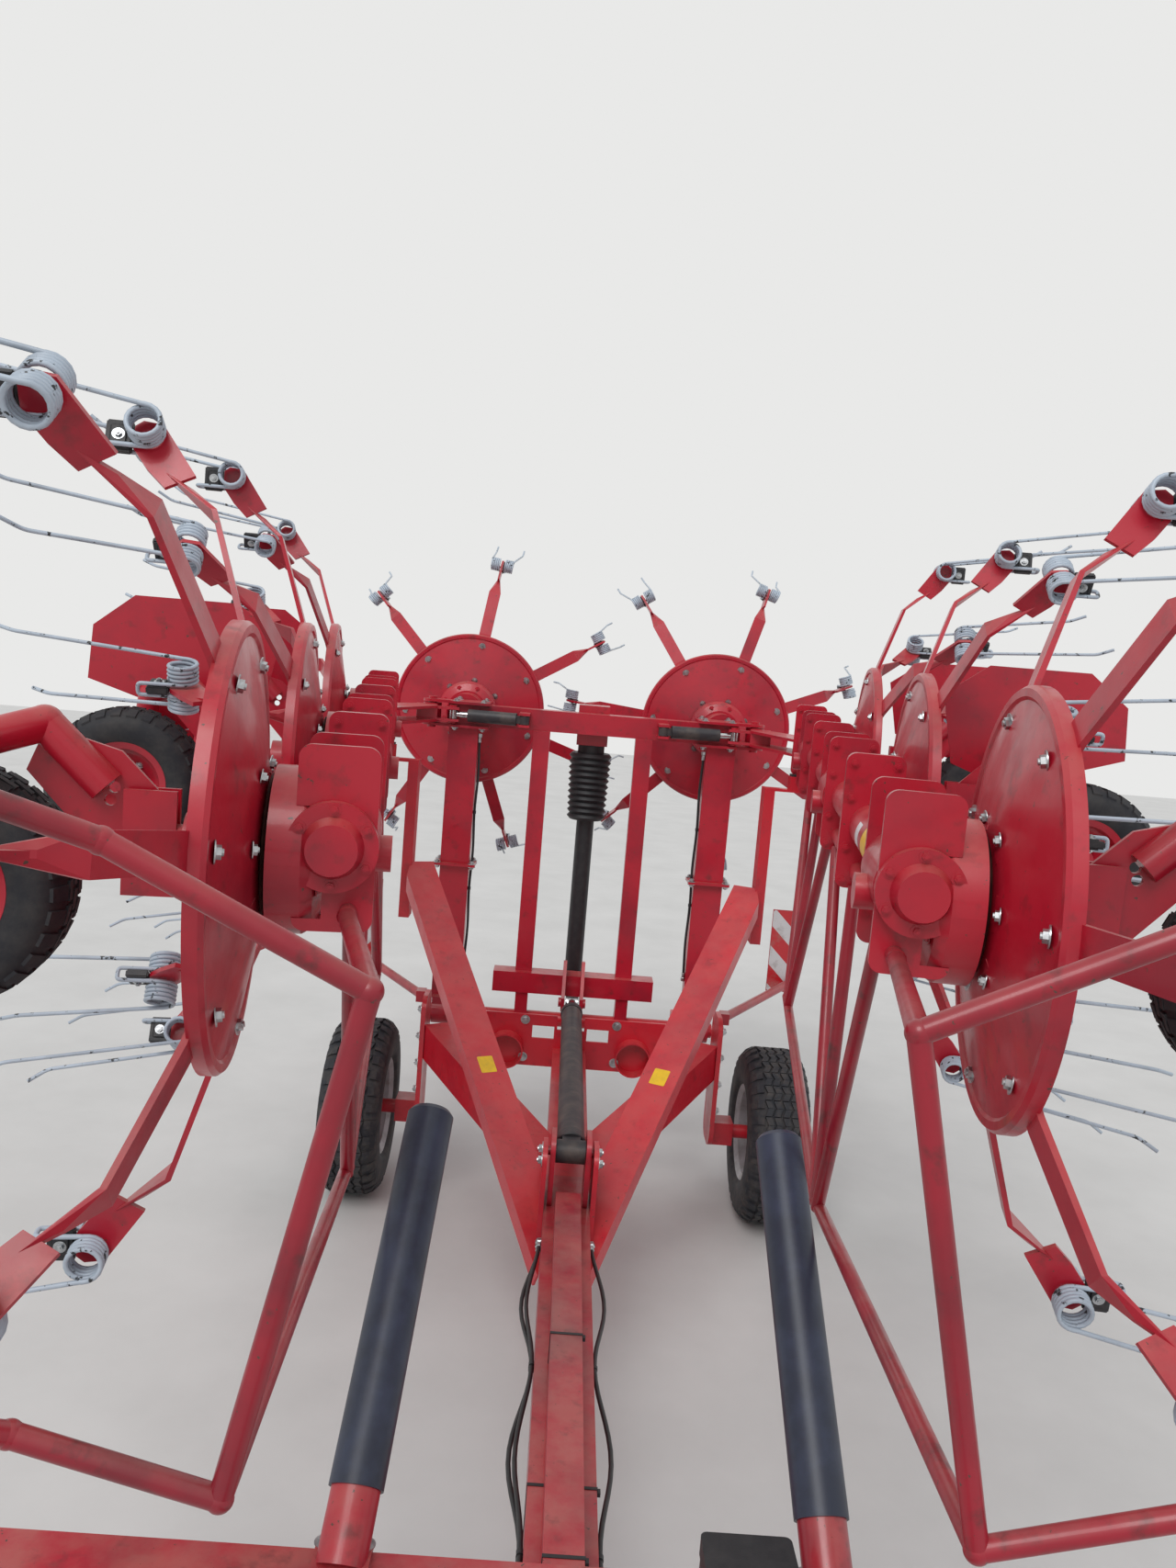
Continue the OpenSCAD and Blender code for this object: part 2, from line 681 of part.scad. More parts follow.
// Flat sheet shields beside the wheels of the two inner wing rotors
module wheel_shields(side) {
  back = gauge_w / 2 + 90;
  pipe_back = gauge_w / 2 + 30 + gauge_pipe_d / 2;
  color(red) for (i = [1, 2]) on_rotor(side, i) {
    translate([-back, 0, 0]) rotate([90, 0, 90])
      linear_extrude(height = 4)
        polygon([[-330, 80], [-420, 200], [-420, 480], [-330, 590], [-180, 600], [-120, 420],
                 [-60, 460], [-20, 420], [-130, 120]]);
    // Boss that bolts the sheet to the wheel's pipe
    translate([-back + 3, -50, 433]) rotate([0, 90, 0])
      cylinder(h = back - pipe_back - 3 - small, d = 34, $fn = 32);
  }
}

// Fold cylinder between the centre beam and the root of a wing
fold_pin_d = 25;
fold_foot = [330, beam_y - 120, beam_z];
fold_eye = [95, -95, 0];
fold_ear_z = 22;
ear_t = 12;

function fold_eye_at(a) =
  [hinge_x + fold_eye[0] * cos(-a) - fold_eye[1] * sin(-a),
   beam_y + fold_eye[0] * sin(-a) + fold_eye[1] * cos(-a), beam_z + fold_eye[2]];
fold_now = fold_eye_at(fold_angle);
fold_len = norm(fold_now - fold_foot);
fold_turn = atan2(fold_now[1] - fold_foot[1], fold_now[0] - fold_foot[0]);
fold_barrel_len = 270;

module on_fold(side) {
  on_tilt() on_side(side) translate(fold_foot) rotate([0, 0, fold_turn]) children();
}

module fold_barrel(side) {
  color(steel) on_fold(side) difference() {
    union() {
      translate([38, 0, 0]) rotate([0, 90, 0]) cylinder(h = fold_barrel_len - 38, d = 60,
        $fn = 48);
      cylinder(h = 40, d = 48, center = true, $fn = 48);
      translate([0, -18, -18]) cube([50, 36, 36]);
    }
    cylinder(h = 60, d = fold_pin_d + 2 * pin_gap, center = true, $fn = 32);
    translate([60, 0, 0]) rotate([0, 90, 0])
      cylinder(h = fold_barrel_len, d = 30 + 2 * pin_gap, $fn = 32);
  }
}

module fold_rod(side) {
  color(zinc) on_fold(side) difference() {
    union() {
      translate([70, 0, 0]) rotate([0, 90, 0]) cylinder(h = fold_len - 90, d = 30, $fn = 32);
      translate([fold_len, 0, 0]) cylinder(h = 40, d = 50, center = true, $fn = 48);
    }
    translate([fold_len, 0, 0]) cylinder(h = 60, d = fold_pin_d + 2 * pin_gap, center = true,
      $fn = 32);
  }
}

// Where the drawbar ends and the chassis frame begins
split_y = -1200;
// Side of the narrower tube on top of the drawbar
tube_w = 80;

// Drawbar: the long box with the narrower tube on top and the hitch eye
module drawbar() {
  front = -hitch_back + 120;
  color(red) on_chassis() difference() {
    union() {
      translate([-drawbar_box / 2, front, hitch_z - drawbar_box / 2])
        cube([drawbar_box, split_y - front, drawbar_box]);
      translate([-tube_w / 2, front + 380, drawbar_top])
        cube([tube_w, -1500 - front - 380, tube_w]);
      translate([0, -hitch_back, hitch_z]) cylinder(h = 50, d = eye_d + 70, center = true,
        $fn = 64);
      translate([-35, -hitch_back + 40, hitch_z - 25]) cube([70, 110, 50]);
      for (x = [-lift_ear_x - 16, lift_ear_x])
        translate([x, lift_foot[1] - 70, drawbar_top - 10])
          rotate([90, 0, 90]) round_plate(140, lift_foot[2] - drawbar_top + 75, 16, 45);
      translate(lift_foot) rotate([0, 90, 0])
        cylinder(h = 2 * lift_ear_x + 48, d = lift_pin_d, center = true, $fn = 32);
    }
    translate([0, -hitch_back, hitch_z]) cylinder(h = 80, d = eye_d, center = true, $fn = 48);
  }
}

// Chassis frame: the V of box beams, the cross plate, wheel plates and axle stubs
module chassis_frame() {
  v_end = [600, -60, 720];
  rail_x = 500;
  rail_w = 40;
  plate_x = 640;
  plate_y = 150;
  ring_x = 290;
  stub_in = track / 2 - tyre_w / 2;
  color(red) on_chassis() difference() {
    union() {
      translate([-drawbar_box / 2, split_y + small, hitch_z - drawbar_box / 2])
        cube([drawbar_box, plate_y - split_y, drawbar_box]);
      for (side = [-1, 1]) on_side(side) {
        box_beam([60, -1000, hitch_z], v_end, 110, 150);
        // Wheel plate with the axle's box and its stub
        translate([plate_x, -110, 330]) rotate([90, 0, 90]) round_plate(220, 580, 20, 70);
        translate([plate_x + 10, -50, tyre_d / 2 - 50])
          cube([stub_in - plate_x - 40, 100, 100]);
        rod([plate_x + 10, 0, tyre_d / 2], [track / 2 + 60, 0, tyre_d / 2], 60);
        // Side rail back to the tilting frame's pivot
        translate([rail_x, -160, 560]) cube([rail_w, pivot_y + 80 + 160, 170]);
        // Ring tube on the cross plate
        translate([ring_x, plate_y - 70, 640]) rotate([-90, 0, 0])
          difference() {
            cylinder(h = 71, d = 160, $fn = 48);
            translate([0, 0, -1]) cylinder(h = 71, d = 148, $fn = 48);
          }
      }
      translate([-rail_x - 10, plate_y, 560]) cube([2 * rail_x + 20, 14, 240]);
      rod([-outer_x - post_wide / 2 - 10, pivot_y, pivot_z],
          [outer_x + post_wide / 2 + 10, pivot_y, pivot_z], pivot_d, 48);
    }
    // Windows in the cross plate, and the notch that the lift cylinder passes
    for (x = [-175, 75]) translate([x, plate_y - 20, 690]) cube([100, 60, 60]);
    translate([-62, plate_y - 20, 735]) cube([124, 60, 100]);
  }
}

// Place and top of the rests, just below the folded wings' stay tubes
rest_x = 750;
rest_top = 1941;

// V braces up to the wing rests, with the upright angles that carry the folded wings
module wing_rests() {
  foot = [80, -1420, 550];
  head = [735, 0, 1470];
  face = 140;
  depth = 60;
  sheet = 8;
  len = norm(head - foot);
  color(red) on_chassis()
    for (side = [-1, 1]) on_side(side) {
      difference() {
        union() {
          translate([drawbar_box / 2 + small, -1480, 500])
            rotate([90, 0, 90]) round_plate(150, 350, 16, 40);
          translate(foot)
            rotate([0, -asin((head[2] - foot[2]) / len),
                    atan2(head[1] - foot[1], head[0] - foot[0])])
              difference() {
                translate([-160, -face / 2, -depth / 2]) cube([len + 160, face, depth]);
                translate([-180, -face / 2 + sheet, -depth / 2 - 1])
                  cube([len + 170, face - 2 * sheet, depth - sheet + 1]);
              }
        }
        translate([-drawbar_box / 2 - small - 400, -2000, 0])
          cube([drawbar_box + 2 * small + 400, 1500, 1000]);
        translate([rest_x + 10, -300, 1000]) cube([200, 600, 900]);
      }
      translate([rest_x, -45, 1250]) cube([12, 90, rest_top - 1250]);
      translate([rest_x, -45, 1250]) cube([45, 12, rest_top - 1250]);
      // Arm under the folded wing's stay tube
      translate([rest_x, -30, rest_top - 50]) cube([45, 60, 50]);
      translate([rest_x, -30, rest_top - 12]) cube([200, 60, 12]);
      translate([rest_x + 110, -30, rest_top - 1]) cube([90, 60, 58]);
    }
}

bar_y = -3180;
bar_box = 90;
bar_z = drawbar_top + tube_w + small;
post_top = [386, -2640, 1425];
// The posts stand this far right of the drawbar's middle
post_shift = 34;
post_d = 90;

// A frame whose z axis runs from a to b, with its origin at a
module along(a, b) {
  v = b - a;
  translate(a) rotate([0, acos(v[2] / norm(v)), atan2(v[1], v[0])]) children();
}

// Crossbar in front with the clamped feet of the sleeved posts
module front_crossbar() {
  color(red) on_chassis() {
    translate([-1120, bar_y - bar_box, bar_z]) cube([2240, bar_box, bar_box]);
    for (side = [-1, 1]) translate([post_shift, 0, 0]) on_side(side) {
      translate([post_x - 50, bar_y - bar_box - 12, bar_z + bar_box - 1])
        cube([100, bar_box + 24, 16]);
      rod([post_x, bar_y - 40, bar_z + bar_box], post_top - [2, -20, 24], post_d, 48);
    }
  }
}

module front_posts() {
  foot = [post_x, bar_y - 40, bar_z + bar_box];
  head = post_top - [2, -20, 24];
  len = norm(head - foot);
  wall = 5;
  r = post_d / 2 + small;
  color(black) on_chassis()
    for (side = [-1, 1]) translate([post_shift, 0, 0]) on_side(side) along(foot, head)
      rotate_extrude($fn = 64)
        polygon([
          [r, 120], [r + wall, 120], [r + wall, len], [r + wall - 8, len + 10],
          [0, len + 14], [0, len + small], [r, len + small]
        ]);
}

module control_box() {
  color(black) on_chassis() translate([225, bar_y - 140, bar_z + bar_box + small])
    cube([160, 110, 105]);
}

// Warning boards with their tubes and lamps behind the wheels
module warning_boards() {
  color("silver") on_chassis()
    for (side = [-1, 1]) on_side(side) {
      translate([660 + small, 10, 860]) cube([40, 60, 50]);
      rod([680, 40, 885], [1130, 790, 885], 40);
      translate([990, 765, 830]) cube([141, 3, 423]);
      translate([1090, 768, 830]) cube([30, 12, 200]);
    }
}

module chassis_hoses() {
  hose_d = 12;
  x = drawbar_box / 2 + hose_d / 2 + small;
  color(black) on_chassis() {
    rod([x, -4200, drawbar_top - 40], [x, -1600, drawbar_top - 40], hose_d, 12);
    for (z = [0, hose_d + small])
      rod([-x, -4200, drawbar_top - 40 - z], [-x, -1600, drawbar_top - 40 - z], hose_d, 12);
  }
}

module jack_sleeve() {
  color(red) on_chassis() difference() {
    union() {
      translate([drawbar_box / 2 + 45, jack_y, 250]) cylinder(h = 560, d = 70, $fn = 48);
      translate([drawbar_box / 2, jack_y - 30, 540]) cube([45, 60, 60]);
    }
    translate([drawbar_box / 2 + 45, jack_y, 240]) cylinder(h = 540, d = 56 + 2 * pin_gap,
      $fn = 48);
  }
}

module jack_leg() {
  color(zinc) on_chassis() {
    translate([drawbar_box / 2 + 45, jack_y, 6]) cylinder(h = 500, d = 56, $fn = 48);
    translate([drawbar_box / 2 - 35, jack_y - 80, 0]) cube([160, 160, 8]);
  }
}

// Transport wheel: tyre with its rim, on the axle stub
module transport_wheel(side) {
  r = tyre_d / 2;
  w = tyre_w / 2;
  color(black) on_chassis() on_side(side)
    translate([track / 2, 0, r]) rotate([0, 90, 0]) {
      rotate_extrude($fn = 96)
        polygon([
          [rim_d / 2, -w + 30], [rim_d / 2 + 60, -w], [r - 50, -w + 6], [r - 12, -w + 34],
          [r, -w + 60], [r, w - 60], [r - 12, w - 34], [r - 50, w - 6], [rim_d / 2 + 60, w],
          [rim_d / 2, w - 30]
        ]);
      rotate_extrude($fn = 96)
        polygon([
          [31, -70], [50, -70], [50, 20], [rim_d / 2 - 14, 60], [rim_d / 2 - 14, -w + 20],
          [rim_d / 2, -w + 20], [rim_d / 2, w - 20], [rim_d / 2 - 14, w - 20],
          [rim_d / 2 - 14, 74], [50, 34], [50, 70], [31, 70]
        ]);
    }
}

drawbar();
chassis_frame();
wing_rests();
front_crossbar();
front_posts();
warning_boards();
control_box();
chassis_hoses();
jack_sleeve();
jack_leg();
transport_wheel(-1);  // wheel_left
transport_wheel(1);  // wheel_right
lift_barrel();
lift_rod();
tilt_frame();
centre_beam();
centre_gearboxes();
drive_guard();
centre_wheel_arms();
fold_barrel(-1);  // fold_barrel_left
fold_rod(-1);  // fold_rod_left
fold_barrel(1);  // fold_barrel_right
fold_rod(1);  // fold_rod_right
wing_frame(-1);  // wing_frame_left
wing_gearboxes(-1);  // wing_gearboxes_left
wing_wheel_arms(-1);  // wing_wheel_arms_left
wing_guard(-1);  // wing_guard_left
wheel_shields(-1);  // wheel_shields_left
wing_frame(1);  // wing_frame_right
wing_gearboxes(1);  // wing_gearboxes_right
wing_wheel_arms(1);  // wing_wheel_arms_right
wing_guard(1);  // wing_guard_right
wheel_shields(1);  // wheel_shields_right
rotor(-1, 0);  // rotor_left_1
rotor(-1, 1);  // rotor_left_2
rotor(-1, 2);  // rotor_left_3
rotor(-1, 3);  // rotor_left_4
rotor(1, 0);  // rotor_right_1
rotor(1, 1);  // rotor_right_2
rotor(1, 2);  // rotor_right_3
rotor(1, 3);  // rotor_right_4
tines(-1, 0);  // tines_left_1
tines(-1, 1);  // tines_left_2
tines(-1, 2);  // tines_left_3
tines(-1, 3);  // tines_left_4
tines(1, 0);  // tines_right_1
tines(1, 1);  // tines_right_2
tines(1, 2);  // tines_right_3
tines(1, 3);  // tines_right_4
gauge_wheel(-1, 0);  // gauge_left_1
gauge_wheel(-1, 1);  // gauge_left_2
gauge_wheel(-1, 2);  // gauge_left_3
gauge_wheel(-1, 3);  // gauge_left_4
gauge_wheel(1, 0);  // gauge_right_1
gauge_wheel(1, 1);  // gauge_right_2
gauge_wheel(1, 2);  // gauge_right_3
gauge_wheel(1, 3);  // gauge_right_4
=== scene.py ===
"""Looks of the folded hay tedder: paint, tyres, tines, fasteners, hoses and the studio stage."""

import math

import bmesh
import bpy
from mathutils import Matrix, Vector


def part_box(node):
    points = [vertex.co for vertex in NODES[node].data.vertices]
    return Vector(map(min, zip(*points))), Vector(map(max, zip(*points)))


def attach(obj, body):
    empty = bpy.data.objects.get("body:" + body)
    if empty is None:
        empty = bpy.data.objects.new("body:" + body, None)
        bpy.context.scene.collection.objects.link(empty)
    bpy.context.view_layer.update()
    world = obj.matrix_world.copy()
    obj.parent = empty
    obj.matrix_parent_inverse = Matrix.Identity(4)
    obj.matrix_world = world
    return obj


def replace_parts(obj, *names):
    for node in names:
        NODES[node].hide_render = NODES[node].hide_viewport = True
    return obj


bl_info = {
    "name": "Hay tedder finish",
    "version": (1, 1, 0),
    "blender": (4, 5, 0),
    "location": "3D View > Sidebar > Tedder",
    "description": "Paints and details a folded hay tedder on its packed frame",
    "category": "Object",
}

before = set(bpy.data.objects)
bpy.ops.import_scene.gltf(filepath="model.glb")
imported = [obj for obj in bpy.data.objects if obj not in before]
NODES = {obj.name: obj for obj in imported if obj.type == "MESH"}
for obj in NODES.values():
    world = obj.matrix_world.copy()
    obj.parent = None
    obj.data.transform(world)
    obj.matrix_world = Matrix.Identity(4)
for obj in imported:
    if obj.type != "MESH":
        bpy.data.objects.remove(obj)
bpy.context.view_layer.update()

# Places of the frames that the part's source uses, in metres and degrees
HITCH_BACK, HITCH_UP = 5.45, 0.575
PIVOT = Vector((0, 0.56, 0.66))
LEAN = 1.1
BEAM = Vector((0.78, 0.61, 2.125))
FOLD = 98
PITCH = 1.275
DISC_OFF = 0.415
ARMS = 7
SIDES = {"left": -1, "right": 1}
STATIONS = [PITCH * (i + 0.5) - BEAM.x for i in (1, 2, 3)]
JOINTS = [x - PITCH / 2 for x in STATIONS]
# Angles at which the rotors stand, from the centre outwards
ROTOR_TURNS = {"right": (-20.3, 12.2, -4.1, -4.0), "left": (5.1, -6.4, 7.7, -9.0)}
# Middle line of a wing's drive tube, across the wing
DRIVE_Y, DRIVE_Z = 0.235, 0.030
# Front face of a gearbox's drum, and the tine coils' seat on an arm, in a rotor's frame
DRUM_FACE = -0.165
TINE_SEAT = Vector((0.760, 0, 0.215))
TYRE_RADIUS, HALF_TRACK = 0.380, 0.915
GAUGE_RADIUS = 0.205
GAUGE_AXLE = (0, 0.085, 0.450)


def at(*spot):
    """Move to a place."""
    return Matrix.Translation(spot)


def turned(degrees, axis):
    return Matrix.Rotation(math.radians(degrees), 4, axis)


CHASSIS = at(0, HITCH_BACK, -HITCH_UP)
TILT = CHASSIS @ at(*PIVOT) @ turned(LEAN, "X") @ at(*-PIVOT)
# Lathed pieces turn about X: these lay that axis along Y or Z
ALONG_Y, ALONG_Z = turned(90, "Z"), turned(-90, "Y")


def on_side(side):
    """Mirror image on the left, nothing on the right."""
    return Matrix.Diagonal((side, 1, 1, 1))


def wing_place(side):
    """Frame of a folded wing: x out along it, y towards its discs, z up."""
    return TILT @ on_side(side) @ at(*BEAM) @ turned(-FOLD, "Z")


def rotor_place(side, i):
    """Seat of rotor i, 0 on the centre beam: origin in the disc, z away from the gearbox."""
    x = PITCH * (i + 0.5)
    if i == 0:
        seat = TILT @ on_side(side) @ at(x, BEAM.y + DISC_OFF, BEAM.z)
    else:
        seat = wing_place(side) @ at(x - BEAM.x, DISC_OFF, 0)
    return seat @ turned(-90, "X")


def each_rotor():
    """Side's name and sign, the rotor's number from the centre outwards, and its label."""
    for name, side in SIDES.items():
        for i in range(4):
            yield name, side, i, "%s_%d" % (name, i + 1)


# Colours and sizes that a user would change

def srgb(code):
    """Linear colour, with its alpha, of an sRGB hex code."""
    parts = [int(code[i:i + 2], 16) / 255 for i in (1, 3, 5)]
    return tuple(c / 12.92 if c <= 0.04045 else ((c + 0.055) / 1.055) ** 2.4
                 for c in parts) + (1.0,)


def colour(name, description, code):
    """Colour property from an sRGB hex code."""
    return bpy.props.FloatVectorProperty(name=name, description=description, subtype="COLOR",
                                         size=4, min=0, max=1, default=srgb(code))


def length(name, description, default, least, most):
    """Size property in metres."""
    return bpy.props.FloatProperty(name=name, description=description, default=default,
                                   min=least, max=most, unit="LENGTH", precision=4)


class TedderColours(bpy.types.PropertyGroup):
    enamel: colour("Enamel", "Crimson enamel of rotors, drawbar and tubes", "#b5102a")
    # Painted light: the crimson enamel made lighter and more orange for the chassis frame
    frame_enamel_lit: colour("Frame enamel", "Brighter enamel of the chassis frame", "#c81a2c")
    # Painted shade together with dirt: the crimson enamel made darker for the wing guards
    guard_enamel_dirt_and_shade: colour("Guard enamel", "Darker enamel of the wing guards", "#9c1228")
    tine_coat: colour("Tine coat", "Powder coat of the tine wire", "#b4c0cc")
    tyre: colour("Tyre", "Black of the transport tyres", "#23252b")
    sticker: colour("Sticker", "Yellow of the blank stickers", "#efc21a")


class TedderSizes(bpy.types.PropertyGroup):
    wire_d: length("Tine wire", "Diameter of the tine wire", 0.0094, 0.007, 0.012)
    coil_d: length("Tine coil", "Outside diameter of a tine coil", 0.070, 0.06, 0.08)
    coil_turns: bpy.props.IntProperty(
        name="Coil turns", description="Whole turns in each coil, to which half a turn is added",
        default=4, min=3, max=5)
    lug_depth: length("Lug depth", "Depth of the transport tyres' tread", 0.010, 0.004, 0.014)
    rib_depth: length("Rib depth", "Depth of the gauge tyres' tread", 0.005, 0.002, 0.008)
    hose_d: length("Hose", "Outside diameter of the hydraulic hoses", 0.012, 0.008, 0.018)
    head_height: bpy.props.FloatProperty(
        name="Bolt head height", description="Height of a bolt head, as a share of its width",
        default=0.38, min=0.3, max=0.6)


# Nodes and materials

def add(tree, kind, links=None, **settings):
    """One node with its settings; links maps input sockets to sockets or values."""
    node = tree.nodes.new(kind)
    for key, value in settings.items():
        setattr(node, key, value)
    for key, value in (links or {}).items():
        if isinstance(value, bpy.types.NodeSocket):
            tree.links.new(value, node.inputs[key])
        else:
            node.inputs[key].default_value = value
    return node


def maths(tree, operation, *values):
    """Result of a Math node on sockets or numbers."""
    return add(tree, "ShaderNodeMath", dict(enumerate(values)), operation=operation).outputs[0]


def blank(name, rough=0.5, metal=0.0, **sockets):
    """New material, its tree, and the object's own coordinates in metres."""
    mat = bpy.data.materials.new(name)
    mat.use_nodes = True
    tree = mat.node_tree
    shader = tree.nodes["Principled BSDF"]
    for key, value in {"Roughness": rough, "Metallic": metal, **sockets}.items():
        shader.inputs[key.replace("_", " ")].default_value = value
    return mat, tree, add(tree, "ShaderNodeTexCoord").outputs["Object"]


def feed(tree, key, value):
    """Links a socket to an input of the material's shader."""
    tree.links.new(value, tree.nodes["Principled BSDF"].inputs[key])


def patches(tree, place, size, low, high, detail=5.0, most=1.0):
    """Blotches about size metres across, rising from 0 to most between two levels of noise."""
    noise = add(tree, "ShaderNodeTexNoise", {"Vector": place, "Scale": 1 / size,
                                             "Detail": detail, "Roughness": 0.6})
    level = add(tree, "ShaderNodeMapRange", {"Value": noise.outputs["Fac"], "From Min": low,
                                             "From Max": high, "To Max": most})
    return level.outputs[0]


def over(tree, amount, below, above):
    """Colour above laid over colour below by an amount."""
    return add(tree, "ShaderNodeMix", {0: amount, 6: below, 7: above},
               data_type="RGBA").outputs[2]


def relief(tree, height, depth, strength):
    """Fine unevenness, depth in metres."""
    bump = add(tree, "ShaderNodeBump", {"Height": height, "Distance": depth,
                                        "Strength": strength})
    feed(tree, "Normal", bump.outputs[0])


def enamel(name, base, faded, dust, grime):
    """Sprayed enamel: glossy crimson where sound, faded and dusty on top, greasy and chipped."""
    mat, tree, place = blank(name, Coat_Weight=0.25, Coat_Roughness=0.12)
    fade = patches(tree, place, 0.32, 0.46, 0.68, most=0.75)
    paint = over(tree, fade, base, faded)
    up = add(tree, "ShaderNodeSeparateXYZ", {"Vector": place.node.outputs["Normal"]})
    top = add(tree, "ShaderNodeMapRange", {"Value": up.outputs["Z"], "From Min": 0.25,
                                           "From Max": 0.95})
    settled = maths(tree, "MULTIPLY", top.outputs[0],
                    patches(tree, place, 0.09, 0.3, 0.62, most=dust))
    paint = over(tree, settled, paint, srgb("#b3a08b"))
    stain = patches(tree, place, 0.055, 0.57, 0.74, most=grime)
    paint = over(tree, stain, paint, srgb("#3a2320"))
    # Chips of 4 to 8 mm, down to grey primer and rust
    chips = patches(tree, place, 0.014, 0.69, 0.715, 3.0)
    feed(tree, "Base Color", over(tree, chips, paint, srgb("#54352c")))
    rough = add(tree, "ShaderNodeMapRange", {"Value": patches(tree, place, 0.12, 0.35, 0.7),
                                             "To Min": 0.30, "To Max": 0.52})
    feed(tree, "Roughness", rough.outputs[0])
    # Orange peel of the spray coat, about 5 mm
    relief(tree, patches(tree, place, 0.005, 0.2, 0.8, 2.0), 0.0006, 0.10)
    return mat


def tyre_rubber(name, base, dusty="#6b6258", amount=0.35):
    """Moulded carbon-black rubber: dull, with field dust in the hollows."""
    mat, tree, place = blank(name, 0.72)
    dust = patches(tree, place, 0.045, 0.42, 0.72, most=amount)
    feed(tree, "Base Color", over(tree, dust, base, srgb(dusty)))
    relief(tree, patches(tree, place, 0.004, 0.3, 0.7, 3.0), 0.0005, 0.25)
    return mat


def tine_coat(name, base):
    """Powder-coated spring steel: pale blue grey, struck off to dark steel where it works."""
    mat, tree, place = blank(name, 0.38)
    worn = patches(tree, place, 0.018, 0.60, 0.64, 4.0)
    soil = patches(tree, place, 0.12, 0.45, 0.75, most=0.45)
    paint = over(tree, soil, base, srgb("#6d7078"))
    feed(tree, "Base Color", over(tree, worn, paint, srgb("#25272b")))
    relief(tree, worn, 0.0004, 0.3)
    return mat


def bright_metal(name, code, rough):
    """Plated steel: a soft metal shine, clouded by handling."""
    mat, tree, place = blank(name, rough, 1.0)
    cloud = patches(tree, place, 0.02, 0.4, 0.7)
    feed(tree, "Base Color", over(tree, cloud, srgb(code), srgb("#8f9092")))
    return mat


def dull(name, first, second, rough, size, amount, depth=0.0003):
    """Paint, rubber or plastic of one colour that a second one soils in patches."""
    first = srgb(first) if isinstance(first, str) else first
    mat, tree, place = blank(name, rough)
    soil = patches(tree, place, size, 0.42, 0.72, most=amount)
    feed(tree, "Base Color", over(tree, soil, first, srgb(second)))
    relief(tree, patches(tree, place, 0.003, 0.3, 0.7, 2.0), depth, 0.2)
    return mat


def striped_sheet(name):
    """Retroreflective sheeting on a warning board: slanted red and silver bands."""
    pair = 0.198  # a red and a silver band together, along X
    mat, tree, place = blank(name, 0.28, Coat_Weight=0.4)
    axes = add(tree, "ShaderNodeSeparateXYZ", {"Vector": place})
    run = maths(tree, "ADD", maths(tree, "ABSOLUTE", axes.outputs["X"]), axes.outputs["Z"])
    part = maths(tree, "FRACT", maths(tree, "MULTIPLY", run, 1 / pair))
    sheet = over(tree, maths(tree, "GREATER_THAN", part, 0.5), srgb("#d9dadb"),
                 srgb("#c9222c"))
    worn = patches(tree, place, 0.05, 0.5, 0.7, most=0.5)
    feed(tree, "Base Color", over(tree, worn, sheet, srgb("#8d8378")))
    return mat


FINISH = {}


def mix_finishes():
    """All finishes, from the colours of the panel."""
    c = bpy.context.scene.tedder_colours
    # Red: one crimson enamel in three copies; the frame's is lighter, a painted light, and the
    # guards' darker, a painted shade with more grime, so the frame stands out from the guards
    FINISH["enamel"] = enamel("crimson enamel", c.enamel, srgb("#85182a"), 0.22, 0.5)
    # Painted light: a lighter copy of the enamel for the frame and the wing rests
    FINISH["frame"] = enamel("enamel lightened by painted light", c.frame_enamel_lit, srgb("#a81c2e"), 0.10, 0.3)
    # Painted shade with real grime: a darker, dirtier copy of the enamel for the guards
    FINISH["guard"] = enamel("dirty enamel darkened by painted shade", c.guard_enamel_dirt_and_shade, srgb("#6a1422"), 0.12, 0.8)
    # Springs and tyres: pale wire against black rubber with field dust
    FINISH["coat"] = tine_coat("powder coated spring steel", c.tine_coat)
    FINISH["tyre"] = tyre_rubber("tyre rubber", c.tyre)
    FINISH["gauge_tyre"] = tyre_rubber("gauge wheel rubber", srgb("#1b1c22"), "#55504a", 0.3)
    # Metal: small bright points of bolts, and the mirror of the cylinders' rods
    FINISH["zinc"] = bright_metal("zinc plate", "#c6c9cb", 0.34)
    FINISH["rod"] = bright_metal("chromed rod", "#d5d7d9", 0.16)
    FINISH["stripes"] = striped_sheet("retroreflective sheeting")
    for key, *look in (
            # Smooth coats: the rims' silver and the sleeves' blue black break up the red
            ("rim", "silver wheel enamel", "#aeb1b4", "#6f6a62", 0.36, 0.06, 0.6),
            ("sleeve", "blue black powder coat", "#252b3b", "#414a63", 0.42, 0.10, 0.5),
            ("cylinder", "dirty cylinder enamel", "#2c2a2e", "#5a5049", 0.5, 0.07, 0.8),
            # Blacks that differ in how dull and dirty they are
            ("hose", "hose rubber", "#191a1d", "#3a3733", 0.45, 0.04, 0.4),
            ("plastic", "black moulded plastic", "#1f2023", "#3b3a3a", 0.5, 0.03, 0.4),
            ("casting", "black painted casting", "#26272b", "#4b4643", 0.5, 0.03, 0.5, 0.0008),
            ("grease", "grease and dust", "#15130f", "#3a2f26", 0.3, 0.03, 0.6, 0.002),
            # Stickers: clean flat colours
            ("yellow", "yellow vinyl", c.sticker, "#b39331", 0.35, 0.03, 0.35),
            ("white", "white vinyl", "#e6e8ea", "#a9abad", 0.35, 0.03, 0.4),
            ("blue", "pale blue vinyl", "#a9bed2", "#7d8b9b", 0.35, 0.03, 0.4)):
        FINISH[key] = dull(*look)


def dress(obj, key):
    """Gives an object one finish."""
    obj.data.materials.clear()
    obj.data.materials.append(FINISH[key])


# Shapes

WELD = 1e-6  # points closer than this are one

